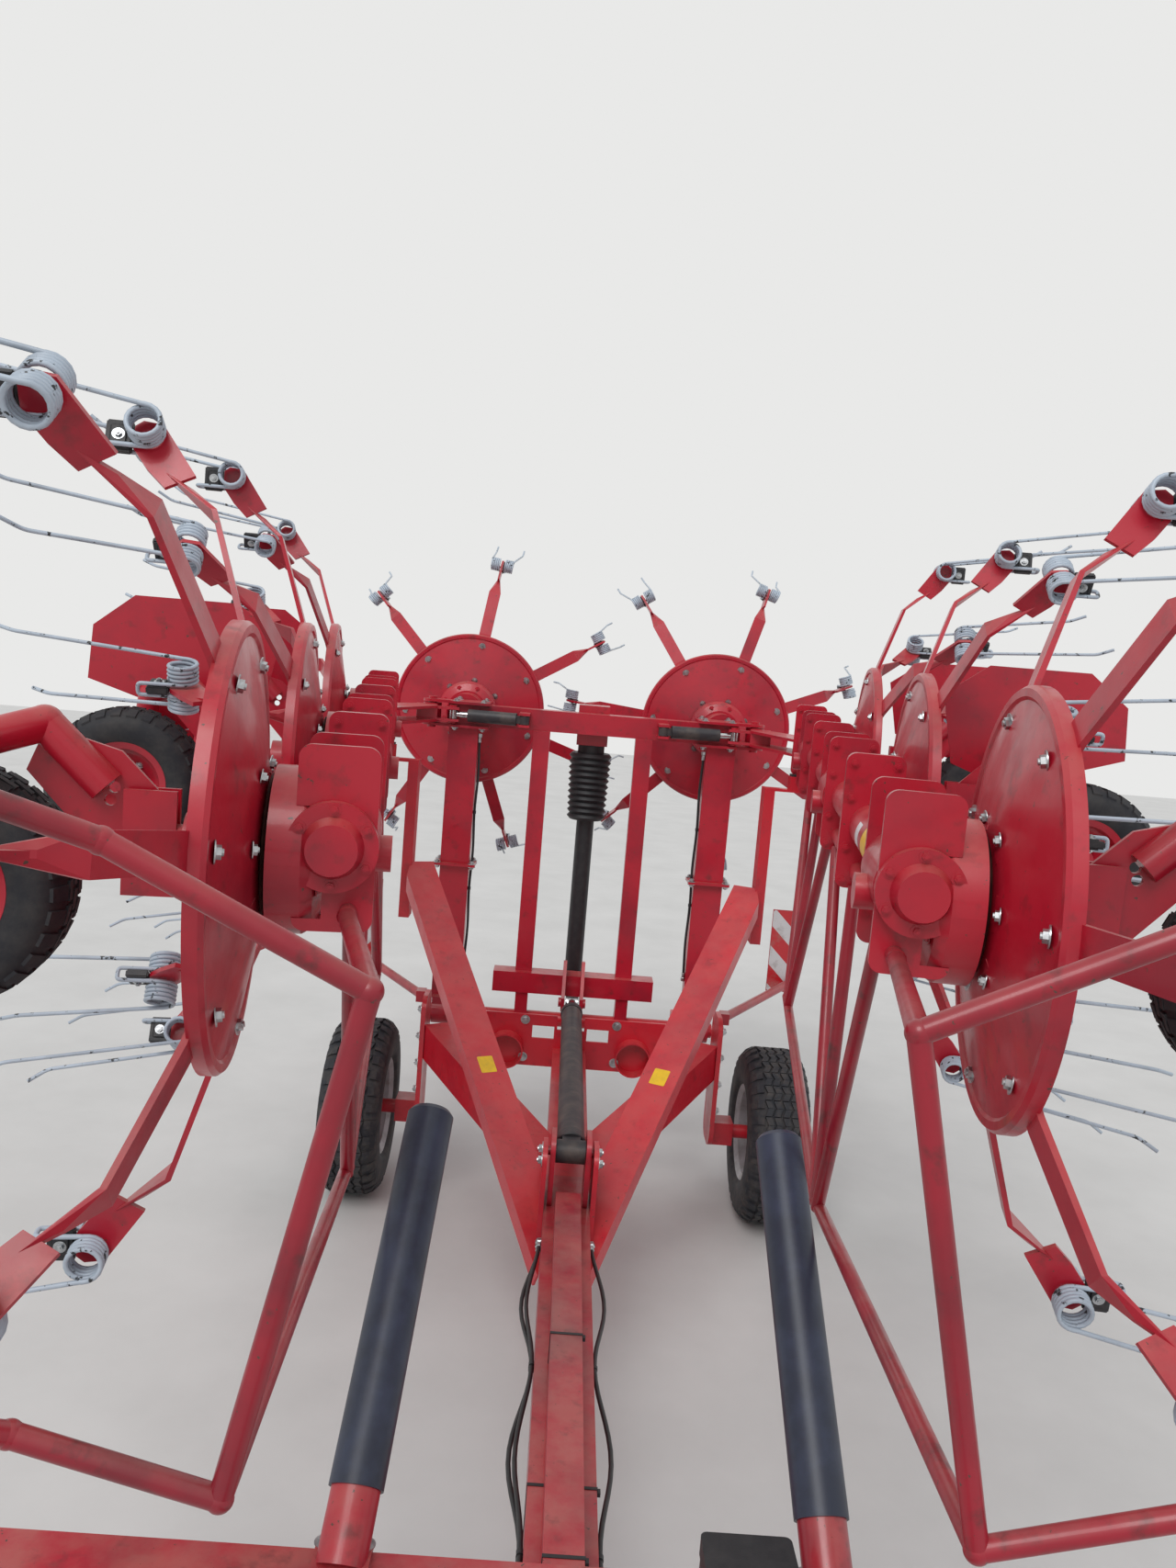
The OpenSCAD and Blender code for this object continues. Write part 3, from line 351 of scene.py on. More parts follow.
def linked(name, data):
    """New object in the scene."""
    obj = bpy.data.objects.new(name, data)
    bpy.context.collection.objects.link(obj)
    return obj


def mesh_of(bm, name):
    """The bmesh as a mesh."""
    mesh = bpy.data.meshes.new(name)
    bm.to_mesh(mesh)
    bm.free()
    return mesh


def settle(obj, key, body, place, degrees):
    """Puts the place into the mesh, welds it, turns it outwards, paints it and seats it."""
    mesh = obj.data
    mesh.transform(place)
    bm = bmesh.new()
    bm.from_mesh(mesh)
    bmesh.ops.remove_doubles(bm, verts=bm.verts, dist=WELD)
    bmesh.ops.recalc_face_normals(bm, faces=bm.faces)
    bm.to_mesh(mesh)
    bm.free()
    mesh.shade_smooth()
    mesh.set_sharp_from_angle(angle=math.radians(degrees))
    dress(obj, key)
    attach(obj, body)
    return obj


def finished(name, bm, key, body, place=Matrix(), degrees=35):
    """The bmesh as a piece that rides on a body."""
    return settle(linked(name, mesh_of(bm, name)), key, body, place, degrees)


def prism(bm, low, high):
    """Closed solid between two outlines of as many corners."""
    a, b = ([bm.verts.new(p) for p in ring] for ring in (low, high))
    bm.faces.new(a[::-1])
    bm.faces.new(b)
    for i in range(len(a)):
        j = (i + 1) % len(a)
        bm.faces.new((a[i], a[j], b[j], b[i]))


def block(bm, low, high, place=Matrix()):
    """Box between two corners."""
    base = ((low[0], low[1]), (high[0], low[1]), (high[0], high[1]), (low[0], high[1]))
    prism(bm, *([place @ Vector((x, y, z)) for x, y in base] for z in (low[2], high[2])))


def around(count, radius, start=0.0):
    """Points evenly on a circle, from start steps past the first axis."""
    return [(radius * math.cos(t), radius * math.sin(t))
            for t in (math.tau * (k + start) / count for k in range(count))]


def card(bm, width, height, thick, corner, place):
    """Flat plate with rounded corners, its middle at the place and its back on z 0."""
    outline, steps = [], 5
    for cx, cy, start in ((1, 1, 0), (-1, 1, 90), (-1, -1, 180), (1, -1, 270)):
        for k in range(steps + 1):
            t = math.radians(start + 90 * k / steps)
            outline.append((cx * (width / 2 - corner) + corner * math.cos(t),
                            cy * (height / 2 - corner) + corner * math.sin(t)))
    prism(bm, [place @ Vector((x, y, 0)) for x, y in outline],
          [place @ Vector((x, y, thick)) for x, y in outline])


def lathe(bm, profile, segments=64, place=Matrix()):
    """Turns a closed profile of (radius, place along X) points about the X axis."""
    rings = [[bm.verts.new(place @ Vector((x, y, z)))
              for y, z in (around(segments, r) if r > WELD else [(0, 0)])]
             for r, x in profile]
    for a, b in zip(rings, rings[1:] + rings[:1]):
        for i in range(segments):
            j = (i + 1) % segments
            quad = (a[i % len(a)], a[j % len(a)], b[j % len(b)], b[i % len(b)])
            corners = list(dict.fromkeys(quad))
            if len(corners) > 2:
                bm.faces.new(corners)


def spun(name, profile, segments, key, body, place):
    """A lathed profile as a piece."""
    bm = bmesh.new()
    lathe(bm, profile, segments)
    return finished(name, bm, key, body, place)


def rounded(points, radius):
    """The points with each corner turned into a short curve."""
    path, steps = [points[0]], 4
    for before, corner, after in zip(points, points[1:], points[2:]):
        a = corner + (before - corner).normalized() * min(radius, (before - corner).length / 2)
        b = corner + (after - corner).normalized() * min(radius, (after - corner).length / 2)
        for k in range(steps + 1):
            t = k / steps
            path.append(a * (1 - t) ** 2 + corner * 2 * t * (1 - t) + b * t ** 2)
    return path + [points[-1]]


def tube(bm, path, radius):
    """Round bar along a path, closed at both ends."""
    sides = 12
    aims = [(path[min(i + 1, len(path) - 1)] - path[max(i - 1, 0)]).normalized()
            for i in range(len(path))]
    across = aims[0].orthogonal().normalized()
    rings = []
    for point, aim in zip(path, aims):
        across = (across - aim * across.dot(aim)).normalized()
        up = aim.cross(across)
        rings.append([bm.verts.new(point + across * a + up * b)
                      for a, b in around(sides, radius)])
    for a, b in zip(rings, rings[1:]):
        for i in range(sides):
            j = (i + 1) % sides
            bm.faces.new((a[i], a[j], b[j], b[i]))
    bm.faces.new(rings[0][::-1])
    bm.faces.new(rings[-1])


# Geometry Nodes

def new_tree(name, inputs):
    """Empty tree with a geometry input and output and the named inputs."""
    tree = bpy.data.node_groups.new(name, "GeometryNodeTree")
    tree.interface.new_socket(name="Piece", in_out="INPUT", socket_type="NodeSocketGeometry")
    for label, kind in inputs.items():
        tree.interface.new_socket(name=label, in_out="INPUT", socket_type="NodeSocket" + kind)
    tree.interface.new_socket(name="Result", in_out="OUTPUT", socket_type="NodeSocketGeometry")
    return tree, add(tree, "NodeGroupInput")


def close_tree(tree, start, instances):
    """Ends a tree in real geometry with its finish set."""
    real = add(tree, "GeometryNodeRealizeInstances", {"Geometry": instances})
    painted = add(tree, "GeometryNodeSetMaterial", {"Geometry": real.outputs[0],
                                                    "Material": start.outputs["Finish"]})
    add(tree, "NodeGroupOutput", {0: painted.outputs[0]})
    return tree


def ring_tree(wire):
    """Copies a piece about the Z axis; with wire, a line first becomes a round bar."""
    inputs = {"Count": "Int", "Phase": "Float", "Finish": "Material"}
    if wire:
        inputs.update({"Wire diameter": "Float", "Sides": "Int"})
    tree, start = new_tree("wire_ring" if wire else "ring_of_copies", inputs)
    piece = start.outputs["Piece"]
    if wire:
        line = add(tree, "GeometryNodeMeshToCurve", {"Mesh": piece})
        radius = maths(tree, "MULTIPLY", start.outputs["Wire diameter"], 0.5)
        ring = add(tree, "GeometryNodeCurvePrimitiveCircle",
                   {"Resolution": start.outputs["Sides"], "Radius": radius})
        bar = add(tree, "GeometryNodeCurveToMesh",
                  {"Curve": line.outputs[0], "Profile Curve": ring.outputs[0],
                   "Fill Caps": True})
        piece = bar.outputs[0]
    seats = add(tree, "GeometryNodePoints", {"Count": start.outputs["Count"]})
    index = add(tree, "GeometryNodeInputIndex")
    step = maths(tree, "DIVIDE", math.tau, start.outputs["Count"])
    turn = maths(tree, "MULTIPLY_ADD", index.outputs[0], step, start.outputs["Phase"])
    angles = add(tree, "ShaderNodeCombineXYZ", {"Z": turn})
    aim = add(tree, "FunctionNodeEulerToRotation", {0: angles.outputs[0]})
    copies = add(tree, "GeometryNodeInstanceOnPoints",
                 {"Points": seats.outputs[0], "Instance": piece, "Rotation": aim.outputs[0]})
    return close_tree(tree, start, copies.outputs[0])


def bolt_tree():
    """A hexagon bolt with its washer and shank end on each point, along its axis attribute."""
    tree, start = new_tree("hexagon_bolts", {"Head height": "Float", "Washer": "Float",
                                             "Finish": "Material"})
    height = start.outputs["Head height"]
    # Washer's and shank end's heights and the shank's radius, in widths across the head
    plate, shank, thin = 0.10, 0.16, 0.26
    whole = add(tree, "GeometryNodeJoinGeometry")
    for sides, radius, tall, low in ((20, start.outputs["Washer"], plate, 0.0),
                                     (6, 0.5, height, plate),
                                     (10, thin, shank, maths(tree, "ADD", height, plate))):
        shape = add(tree, "GeometryNodeMeshCylinder",
                    {"Vertices": sides, "Radius": radius, "Depth": tall})
        middle = maths(tree, "MULTIPLY_ADD", tall, 0.5, low)
        lift = add(tree, "ShaderNodeCombineXYZ", {"Z": middle})
        disc = add(tree, "GeometryNodeTransform",
                   {"Geometry": shape.outputs[0], "Translation": lift.outputs[0]})
        tree.links.new(disc.outputs[0], whole.inputs[0])
    axis = add(tree, "GeometryNodeInputNamedAttribute", {"Name": "axis"},
               data_type="FLOAT_VECTOR")
    size = add(tree, "GeometryNodeInputNamedAttribute", {"Name": "size"}, data_type="FLOAT")
    aim = add(tree, "FunctionNodeAlignRotationToVector", {"Vector": axis.outputs[0]}, axis="Z")
    copies = add(tree, "GeometryNodeInstanceOnPoints",
                 {"Points": start.outputs["Piece"], "Instance": whole.outputs[0],
                  "Rotation": aim.outputs[0], "Scale": size.outputs[0]})
    return close_tree(tree, start, copies.outputs[0])


def grown(name, mesh, tree, inputs, key, body, place=Matrix(), degrees=35):
    """Runs a tree on a mesh and keeps the result as a plain piece on its body."""
    obj = linked(name, mesh)
    shape = obj.modifiers.new("shape", "NODES")
    shape.node_group = tree
    inputs = {**inputs, "Finish": FINISH[key]}
    for item in tree.interface.items_tree:
        if item.in_out == "INPUT" and item.name in inputs:
            shape[item.identifier] = inputs[item.name]
    obj.update_tag()
    seen = obj.evaluated_get(bpy.context.evaluated_depsgraph_get())
    plain = bpy.data.meshes.new_from_object(seen)
    obj.modifiers.remove(shape)
    obj.data = plain
    bpy.data.meshes.remove(mesh)
    if not plain.polygons:
        raise RuntimeError(name + " came out empty")
    return settle(obj, key, body, place, degrees)


class Bolts:
    """Bolts by the body that carries them: place, axis and width across the head."""

    WASHER = 0.82  # radius, in widths across the head

    def __init__(self, key):
        self.key, self.seats = key, {}

    def put(self, body, matrix, spot, axis, size):
        """Notes one bolt, its spot and axis given in the matrix's frame."""
        aim = (matrix.to_3x3() @ Vector(axis)).normalized()
        self.seats.setdefault(body, []).append((matrix @ Vector(spot), aim, size))

    def make(self, tree, head_height):
        """Grows one piece for each body."""
        for body, seats in self.seats.items():
            name = "%s_bolts_%s" % (self.key, body)
            mesh = bpy.data.meshes.new(name)
            mesh.from_pydata([s[0] for s in seats], [], [])
            axis = mesh.attributes.new("axis", "FLOAT_VECTOR", "POINT")
            axis.data.foreach_set("vector", [c for s in seats for c in s[1]])
            size = mesh.attributes.new("size", "FLOAT", "POINT")
            size.data.foreach_set("value", [s[2] for s in seats])
            grown(name, mesh, tree, {"Head height": head_height, "Washer": self.WASHER},
                  self.key, body)


BOLTS, PAINTED = Bolts("zinc"), Bolts("enamel")


# Pieces

NODE_FINISH = (
    ("chassis_frame", "frame"), ("wing_rests", "frame"), ("wing_guard", "guard"),
    ("drive_guard", "plastic"), ("lift_barrel", "cylinder"), ("fold_barrel", "cylinder"),
    ("lift_rod", "rod"), ("fold_rod", "rod"), ("jack_leg", "zinc"), ("front_posts", "sleeve"),
)


def paint_frame():
    """Finish of every node that shows as it is."""
    for name, obj in NODES.items():
        key = next((k for start, k in NODE_FINISH if name.startswith(start)), "enamel")
        dress(obj, key)


def tread_lug(bm, crown, corners):
    """Block on a tyre: corners are (angle, place along the axle, foot and top above crown)."""
    low, high = ([(r * math.cos(t), r * math.sin(t), x) for t, x, r in ring]
                 for ring in zip(*(((t, x, crown + a), (t, x, crown + b))
                                   for t, x, a, b in corners)))
    prism(bm, low, high)


def transport_pitch(crown, step, depth):
    """One pitch of the transport tyres' tread: zigzags of four ribs and two shoulder blocks."""
    bm = bmesh.new()
    sink, wide, zig = -0.004, 0.013, 0.006
    for middle in (-0.055, -0.019, 0.019, 0.055):
        for start, a, b in ((-0.48, -zig, zig), (0.0, zig, -zig)):
            t0, t1 = start * step, (start + 0.46) * step
            tread_lug(bm, crown, [(t, middle + x, sink, depth) for t, x in
                                  ((t0, a - wide), (t1, b - wide), (t1, b + wide),
                                   (t0, a + wide))])
    rows = ((0.078, sink, depth - 0.001), (0.104, -0.022, -0.004), (0.126, -0.048, -0.030))
    for flip in (-1, 1):
        t0, t1 = (0.25 * flip - 0.30) * step, (0.25 * flip + 0.24) * step
        for (x0, a0, b0), (x1, a1, b1) in zip(rows, rows[1:]):
            tread_lug(bm, crown, [
                (t0, flip * x0, a0, b0), (t1, flip * x0, a0, b0),
                (t1 - 0.03 * step, flip * x1, a1, b1), (t0 + 0.03 * step, flip * x1, a1, b1)])
    return bm


def gauge_pitch(crown, step, depth):
    """One pitch of the gauge tyres' tread: three staggered ribs and two shoulder blocks."""
    bm = bmesh.new()
    for middle, start in ((-0.026, -0.42), (0.0, 0.08), (0.026, -0.42)):
        t0, t1 = start * step, (start + 0.80) * step
        tread_lug(bm, crown, [(t, middle + x, -0.003, depth) for t, x in
                              ((t0, -0.010), (t1, -0.007), (t1, 0.010), (t0, 0.007))])
    for flip in (-1, 1):
        t0, t1 = -0.30 * step, 0.30 * step
        inner, outer = (flip * 0.041, -0.004, depth - 0.001), (flip * 0.070, -0.024, -0.012)
        tread_lug(bm, crown, [(t0, *inner), (t1, *inner), (t1, *outer), (t0, *outer)])
    return bm


def add_tyre(names, node, key, body, place, half, segments, pitch, pitches, ring):
    """Tyre turned from half of its section, and its tread; together they replace a node."""
    bm = bmesh.new()
    lathe(bm, half + [(r, -x) for r, x in half[-2::-1]], segments)
    tyre = finished(names[0], bm, key, body, place, 50)
    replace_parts(tyre, node)
    # The tread is made about Z and laid along the axle
    tread = grown(names[1], mesh_of(pitch, "tread"), ring, {"Count": pitches, "Phase": 0.0},
                  key, body, place @ turned(90, "Y"), 30)


def make_transport_wheels():
    """Tyre with zigzag ribs and shoulder blocks, silver rim with its nuts, and the hub."""
    depth = bpy.context.scene.tedder_sizes.lug_depth
    crown, pitches = TYRE_RADIUS - depth, 34
    half = [(0.200, 0.100), (0.206, 0.112), (0.222, 0.119), (0.228, 0.127), (0.255, 0.131),
            (0.290, 0.132), (0.318, 0.130), (0.344, 0.122), (crown - 0.014, 0.104),
            (crown - 0.003, 0.080), (crown, 0.050), (crown, 0.0)]
    rim = [(0.031, -0.070), (0.050, -0.070), (0.050, 0.012), (0.060, 0.016), (0.120, 0.034),
           (0.160, 0.052), (0.176, 0.052), (0.182, 0.030), (0.182, -0.060), (0.190, -0.084),
           (0.190, -0.094), (0.206, -0.104), (0.212, -0.112), (0.207, -0.116),
           (0.199, -0.110), (0.185, -0.098), (0.185, -0.088), (0.177, -0.062),
           (0.176, 0.060), (0.183, 0.078), (0.185, 0.098), (0.199, 0.110), (0.207, 0.116),
           (0.212, 0.112), (0.206, 0.104), (0.192, 0.094), (0.190, 0.080), (0.183, 0.066),
           (0.160, 0.060), (0.120, 0.042), (0.062, 0.025), (0.050, 0.030), (0.050, 0.070),
           (0.031, 0.070)]
    cap = [(0, 0.068), (0.044, 0.068), (0.046, 0.072), (0.046, 0.090), (0.040, 0.100),
           (0.022, 0.106), (0, 0.106)]
    ring = ring_tree(False)
    for name, side in SIDES.items():
        body = "transport_wheel_" + name
        place = CHASSIS @ on_side(side) @ at(HALF_TRACK, 0, TYRE_RADIUS)
        add_tyre(("tyre_" + name, "tread_" + name), "wheel_" + name, "tyre", body, place, half,
                 96, transport_pitch(crown, math.tau / pitches, depth), pitches, ring)
        spun("rim_" + name, rim, 72, "rim", body, place)
        spun("hub_cap_" + name, cap, 40, "enamel", body, place)
        for y, z in around(6, 1.0):
            BOLTS.put(body, place, (0.037, 0.102 * y, 0.102 * z), (1, -0.25 * y, -0.25 * z),
                      0.026)


def make_gauge_wheels():
    """Small tyres with ribs and shoulder blocks on red rims."""
    depth = bpy.context.scene.tedder_sizes.rib_depth
    crown, pitches = GAUGE_RADIUS - depth, 30
    half = [(0.110, 0.066), (0.118, 0.074), (0.140, 0.079), (0.164, 0.079), (0.182, 0.070),
            (crown - 0.006, 0.052), (crown, 0.036), (crown, 0.0)]
    rim = [(0.016, -0.060), (0.034, -0.060), (0.034, -0.008), (0.046, -0.005),
           (0.084, -0.030), (0.098, -0.034), (0.102, -0.058), (0.118, -0.068),
           (0.116, -0.073), (0.098, -0.064), (0.093, -0.036), (0.084, -0.037),
           (0.046, -0.013), (0.046, 0.013), (0.084, 0.037), (0.093, 0.036), (0.098, 0.064),
           (0.116, 0.073), (0.118, 0.068), (0.102, 0.058), (0.098, 0.034), (0.084, 0.030),
           (0.052, 0.005), (0.034, 0.008), (0.034, 0.060), (0.016, 0.060)]
    ring = ring_tree(False)
    for _, side, i, label in each_rotor():
        body = "gauge_" + label
        place = rotor_place(side, i) @ at(*GAUGE_AXLE)
        add_tyre(("gauge_tyre_" + label, "gauge_tread_" + label), body, "gauge_tyre", body,
                 place, half, 64, gauge_pitch(crown, math.tau / pitches, depth), pitches, ring)
        spun("gauge_rim_" + label, rim, 48, "enamel", body, place)
        for y, z in around(5, 1.0):
            for flip in (-1, 1):
                BOLTS.put(body, place, (flip * 0.024, 0.065 * y, 0.065 * z),
                          (flip, 0.6 * y, 0.6 * z), 0.013)


def tine_path(sizes, turn):
    """Middle line of one double tine from tip to tip, its coils about the frame's Y axis."""
    coil = (sizes.coil_d - sizes.wire_d) / 2
    windings = sizes.coil_turns + 0.5
    near = 0.0135                                     # from the middle to a coil's inner end
    span = windings * (sizes.wire_d + 0.0002)         # width of a coil, with a hair's gap
    loop, hook = 0.092, Vector((0.030, 0, 0.042))     # height of the bridge, bend of the tip
    steps = 18 * sizes.coil_turns + 9
    halves = []
    for s in (-1, 1):
        leg = 0.385 if s * turn > 0 else 0.315
        tip = Vector((coil + 0.16 * leg, s * (near + span + 0.04 * leg), leg))
        wire = rounded([tip + hook, tip, Vector((coil, s * (near + span), 0.004))], 0.015)
        for k in range(steps, -1, -1):
            t = math.pi + math.tau * windings * k / steps
            wire.append(Vector((coil * math.cos(t), s * (near + span * k / steps),
                                coil * math.sin(t))))
        halves.append(wire)
    up = [Vector((-coil, s * near, loop)) for s in (-1, 1)]
    bridge = rounded([halves[0][-1], *up, halves[1][-1]], 0.009)
    return halves[0] + bridge[1:-1] + halves[1][::-1]


def make_tines():
    """Seven double tines on each rotor, each one wire, in black clamps with two bolts."""
    sizes = bpy.context.scene.tedder_sizes
    wires, ring = ring_tree(True), ring_tree(False)
    for name, side, i, label in each_rotor():
        body = "rotor_" + label
        place = rotor_place(side, i)
        phase = math.radians(ROTOR_TURNS[name][i])
        path = [p + TINE_SEAT for p in tine_path(sizes, 1 if i % 2 else -1)]
        mesh = bpy.data.meshes.new("tine line")
        mesh.from_pydata(path, [(k, k + 1) for k in range(len(path) - 1)], [])
        wire = grown("tine_wire_" + label, mesh, wires,
                     {"Count": ARMS, "Phase": phase, "Wire diameter": sizes.wire_d, "Sides": 8},
                     "coat", body, place, 60)
        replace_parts(wire, "tines_" + label)
        bm = bmesh.new()
        for low, high in (((-0.040, -0.0085, 0.026), (0.022, 0.0085, 0.074)),
                          ((-0.030, -0.0115, 0.034), (0.012, 0.0115, 0.066))):
            block(bm, TINE_SEAT + Vector(low), TINE_SEAT + Vector(high))
        bmesh.ops.bevel(bm, geom=bm.edges[:], offset=0.003, segments=2, affect="EDGES")
        grown("tine_clamps_" + label, mesh_of(bm, "clamp"), ring,
              {"Count": ARMS, "Phase": phase}, "casting", body, place)
        for k in range(ARMS):
            arm = place @ turned(ROTOR_TURNS[name][i] + 360 * k / ARMS, "Z")
            for flip in (-1, 1):
                BOLTS.put(body, arm, (0.751, flip * 0.0112, 0.265), (0, flip, 0), 0.014)
            # Heads in the dish and a nut on the arm
            BOLTS.put(body, arm, (0.326, 0, -0.0235), (-0.18, 0, -1), 0.022)
            BOLTS.put(body, arm, (0.150, 0, -0.0560), (-0.18, 0, -1), 0.018)
            BOLTS.put(body, arm, (0.326, 0, 0.0010), (-0.25, 0, 1), 0.020)


def fasten_wing(name, side):
    """Painted bolts of a wing's plates, its last cover and its drums."""
    body, wing = "wing_" + name, wing_place(side)
    gap, sheet = 0.112, 0.012    # faces of the gearboxes' and the joints' plates
    for x, face in [(x, gap) for x in STATIONS] + [(x, sheet) for x in JOINTS]:
        for flip in (-1, 1):
            if x == STATIONS[-1] and flip > 0:
                for y, z in around(6, 0.063, 0.5):
                    PAINTED.put(body, wing, (x + 0.1343, DRIVE_Y + y, DRIVE_Z + z), (1, 0, 0),
                                0.014)
                continue
            for y in (0.182, 0.280):
                for z in (-0.097, -0.022, 0.092, 0.172):
                    PAINTED.put(body, wing, (x + flip * face, y, z), (flip, 0, 0), 0.016)
    for i in range(4):
        for x, y in around(8, 0.118, 0.5):
            # A wing's drums have none where the drive tube leaves them
            if i == 0 or y > 0.04 or y < -0.106:
                PAINTED.put("tilt" if i == 0 else body, rotor_place(side, i),
                            (x, y, DRUM_FACE + 0.0085), (0, 0, -1), 0.015)


def fasten_frames(side):
    """Zinc bolts of the raised frame and the chassis on one side."""
    tilt, base = TILT @ on_side(side), CHASSIS @ on_side(side)
    for flip in (-1, 1):
        for x in (0.53, 0.66):
            for y in (-0.062, 0.102):
                BOLTS.put("tilt", tilt, (x, BEAM.y + y, BEAM.z + flip * 0.062), (0, 0, flip),
                          0.024)
        for x in (0.537, 0.703):
            for y in (0.557, 0.663):
                BOLTS.put("tilt", tilt, (x, y, 1.396 + flip * 0.006), (0, 0, flip), 0.024)
        for z in (0.50, 0.62, 0.74, 0.86):
            BOLTS.put("chassis", base, (0.66, flip * 0.085, z), (1, 0, 0), 0.028)
        for y in (-3.268, -3.182):
            BOLTS.put("chassis", CHASSIS, (side * 0.429 + 0.034 + flip * 0.038, y, 0.8353),
                      (0, 0, 1), 0.020)
    for x in (0.21, 0.475):
        for z in (0.60, 0.775):
            BOLTS.put("chassis", base, (x, 0.150, z), (0, -1, 0), 0.026)
    for y in (-1.45, -1.36):
        for z in (0.53, 0.81):
            BOLTS.put("chassis", base, (0.0913, y, z), (1, 0, 0), 0.028)


def make_fasteners():
    """Bolts of plates, flanges, covers and clamps, and those of wheels and rotors."""
    for name, side in SIDES.items():
        fasten_wing(name, side)
        fasten_frames(side)
    bolt = bolt_tree()
    for bolts in (BOLTS, PAINTED):
        bolts.make(bolt, bpy.context.scene.tedder_sizes.head_height)


def wave(k, period):
    """Rises from 0 at a clip to 1 between two clips."""
    return (1 - math.cos(math.tau * k / period)) / 2


def drawbar_run(x, z, loose, between):
    """Hose beside the drawbar, bowing out a little between its clips."""
    front, run, steps = -4.2, 2.6, 52
    out = math.copysign(loose, x)
    return [CHASSIS @ Vector((x + out * wave(k, between), front + run * k / steps,
                              z - 0.012 * wave(k, between))) for k in range(steps + 1)]


def upright_run(side, between):
    """Hose up the inner face of an outer upright."""
    foot, run, steps = Vector((0.5425, 0.592, 0.90)), 1.13, 30
    return [TILT @ on_side(side) @ (foot + Vector((-0.006 * wave(k, between),
                                                   -0.010 * wave(k, between),
                                                   run * k / steps))) for k in range(steps + 1)]


# Hoses: name, body, number of points between two clips, and the points themselves
HOSES = (
    ("hose_lighting", "chassis", 13, drawbar_run(0.0813, 0.610, 0.034, 13)),
    ("hose_lift", "chassis", 13, drawbar_run(-0.0813, 0.610, 0.026, 13)),
    ("hose_fold", "chassis", 13, drawbar_run(-0.0813, 0.5977, 0.040, 13)),
    ("hose_upright_left", "tilt", 10, upright_run(-1, 10)),
    ("hose_upright_right", "tilt", 10, upright_run(1, 10)),
)


def along(spot, ahead):
    """Frame at a spot whose X axis looks at the next one."""
    return at(*spot) @ (ahead - spot).normalized().to_track_quat("X", "Z").to_matrix().to_4x4()


def make_hoses():
    """Declared hoses with their end fittings and clips."""
    d = bpy.context.scene.tedder_sizes.hose_d
    fitting = [(0, -0.006), (0.012, -0.006), (0.012, 0.010), (0.0085, 0.013), (0.0085, 0.034),
               (0.0075, 0.036), (0, 0.036)]
    clip = [(d / 2, -0.007), (d / 2 + 0.002, -0.007), (d / 2 + 0.002, 0.007), (d / 2, 0.007)]
    for name, body, between, path in HOSES:
        for label, tip, ahead in (("start", path[0], path[1]), ("end", path[-1], path[-2])):
            spun("%s_fitting_%s" % (name, label), fitting, 6, "zinc", body,
                             along(tip, ahead))
        bm = bmesh.new()
        tube(bm, path, d / 2)
        hose = finished(name, bm, "hose", body, degrees=80)
        if name == "hose_lighting":
            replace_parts(hose, "chassis_hoses")
        bm = bmesh.new()
        for k in range(between, len(path) - 1, between):
            lathe(bm, clip, 20, along(path[k], path[k + 1]))
        finished(name + "_clips", bm, "plastic", body)


STICKER = 0.0006  # thickness


def add_card(name, key, body, sizes, corner, place):
    """One flat card, sizes being its width, height and thickness, as a piece."""
    bm = bmesh.new()
    card(bm, *sizes, corner, place)
    return finished(name, bm, key, body)


def brace_place(side):
    """Frame on the web of a V brace: x up along it, z out of it."""
    foot, head, half = Vector((0.080, -1.420, 0.550)), Vector((0.735, 0, 1.470)), 0.0301
    run = head - foot
    return (CHASSIS @ on_side(side) @ at(*foot)
            @ Matrix.Rotation(math.atan2(run.y, run.x), 4, "Z")
            @ Matrix.Rotation(-math.asin(run.z / run.length), 4, "Y") @ at(0, 0, half))


def tube_sticker(name, key, x, width, low, high):
    """Sticker bent round the right wing's drive tube, between two angles from its front."""
    bm = bmesh.new()
    steps, radius = 10, 0.0512
    angles = [math.radians(low + (high - low) * k / steps) for k in range(steps + 1)]
    for t0, t1 in zip(angles, angles[1:]):
        corners = [(radius, t0), (radius, t1), (radius + STICKER, t1), (radius + STICKER, t0)]
        prism(bm, *([(x, -r * math.cos(t), r * math.sin(t)) for r, t in corners]
                    for x in (-width / 2, width / 2)))
    finished(name, bm, key, "wing_right", wing_place(1) @ at(x, DRIVE_Y, DRIVE_Z), 60)


def make_signs():
    """Blank stickers, and the striped sheets of the warning boards."""
    for name, side in SIDES.items():
        add_card("brace_sticker_" + name, "yellow", "chassis", (0.075, 0.060, STICKER), 0.005,
                 brace_place(side) @ at(0.68, 0, 0))
        bm = bmesh.new()
        for width, x, y, way in ((0.136, 1.0605, 0.7648, 90), (0.092, 1.0385, 0.7682, -90)):
            card(bm, width, 0.416, STICKER, 0.010,
                 CHASSIS @ on_side(side) @ at(x, y, 1.0415) @ turned(way, "X"))
        finished("board_sheets_" + name, bm, "stripes", "chassis")
    for name, key, side, i, x, width, height in (
            ("drum_sticker_right_2", "yellow", "right", 1, 0.030, 0.075, 0.050),
            ("drum_sticker_right_3", "yellow", "right", 2, 0.010, 0.080, 0.055),
            ("drum_label_left_4", "blue", "left", 3, 0.0, 0.085, 0.055)):
        add_card(name, key, "wing_" + side, (width, height, STICKER), 0.005,
                 rotor_place(SIDES[side], i) @ at(x, 0.088, DRUM_FACE - 0.0002)
                 @ turned(180, "X"))
    tube_sticker("tube_sticker_square", "yellow", 3.36, 0.085, -35, 45)
    tube_sticker("tube_sticker_round", "white", 3.23, 0.050, -20, 35)


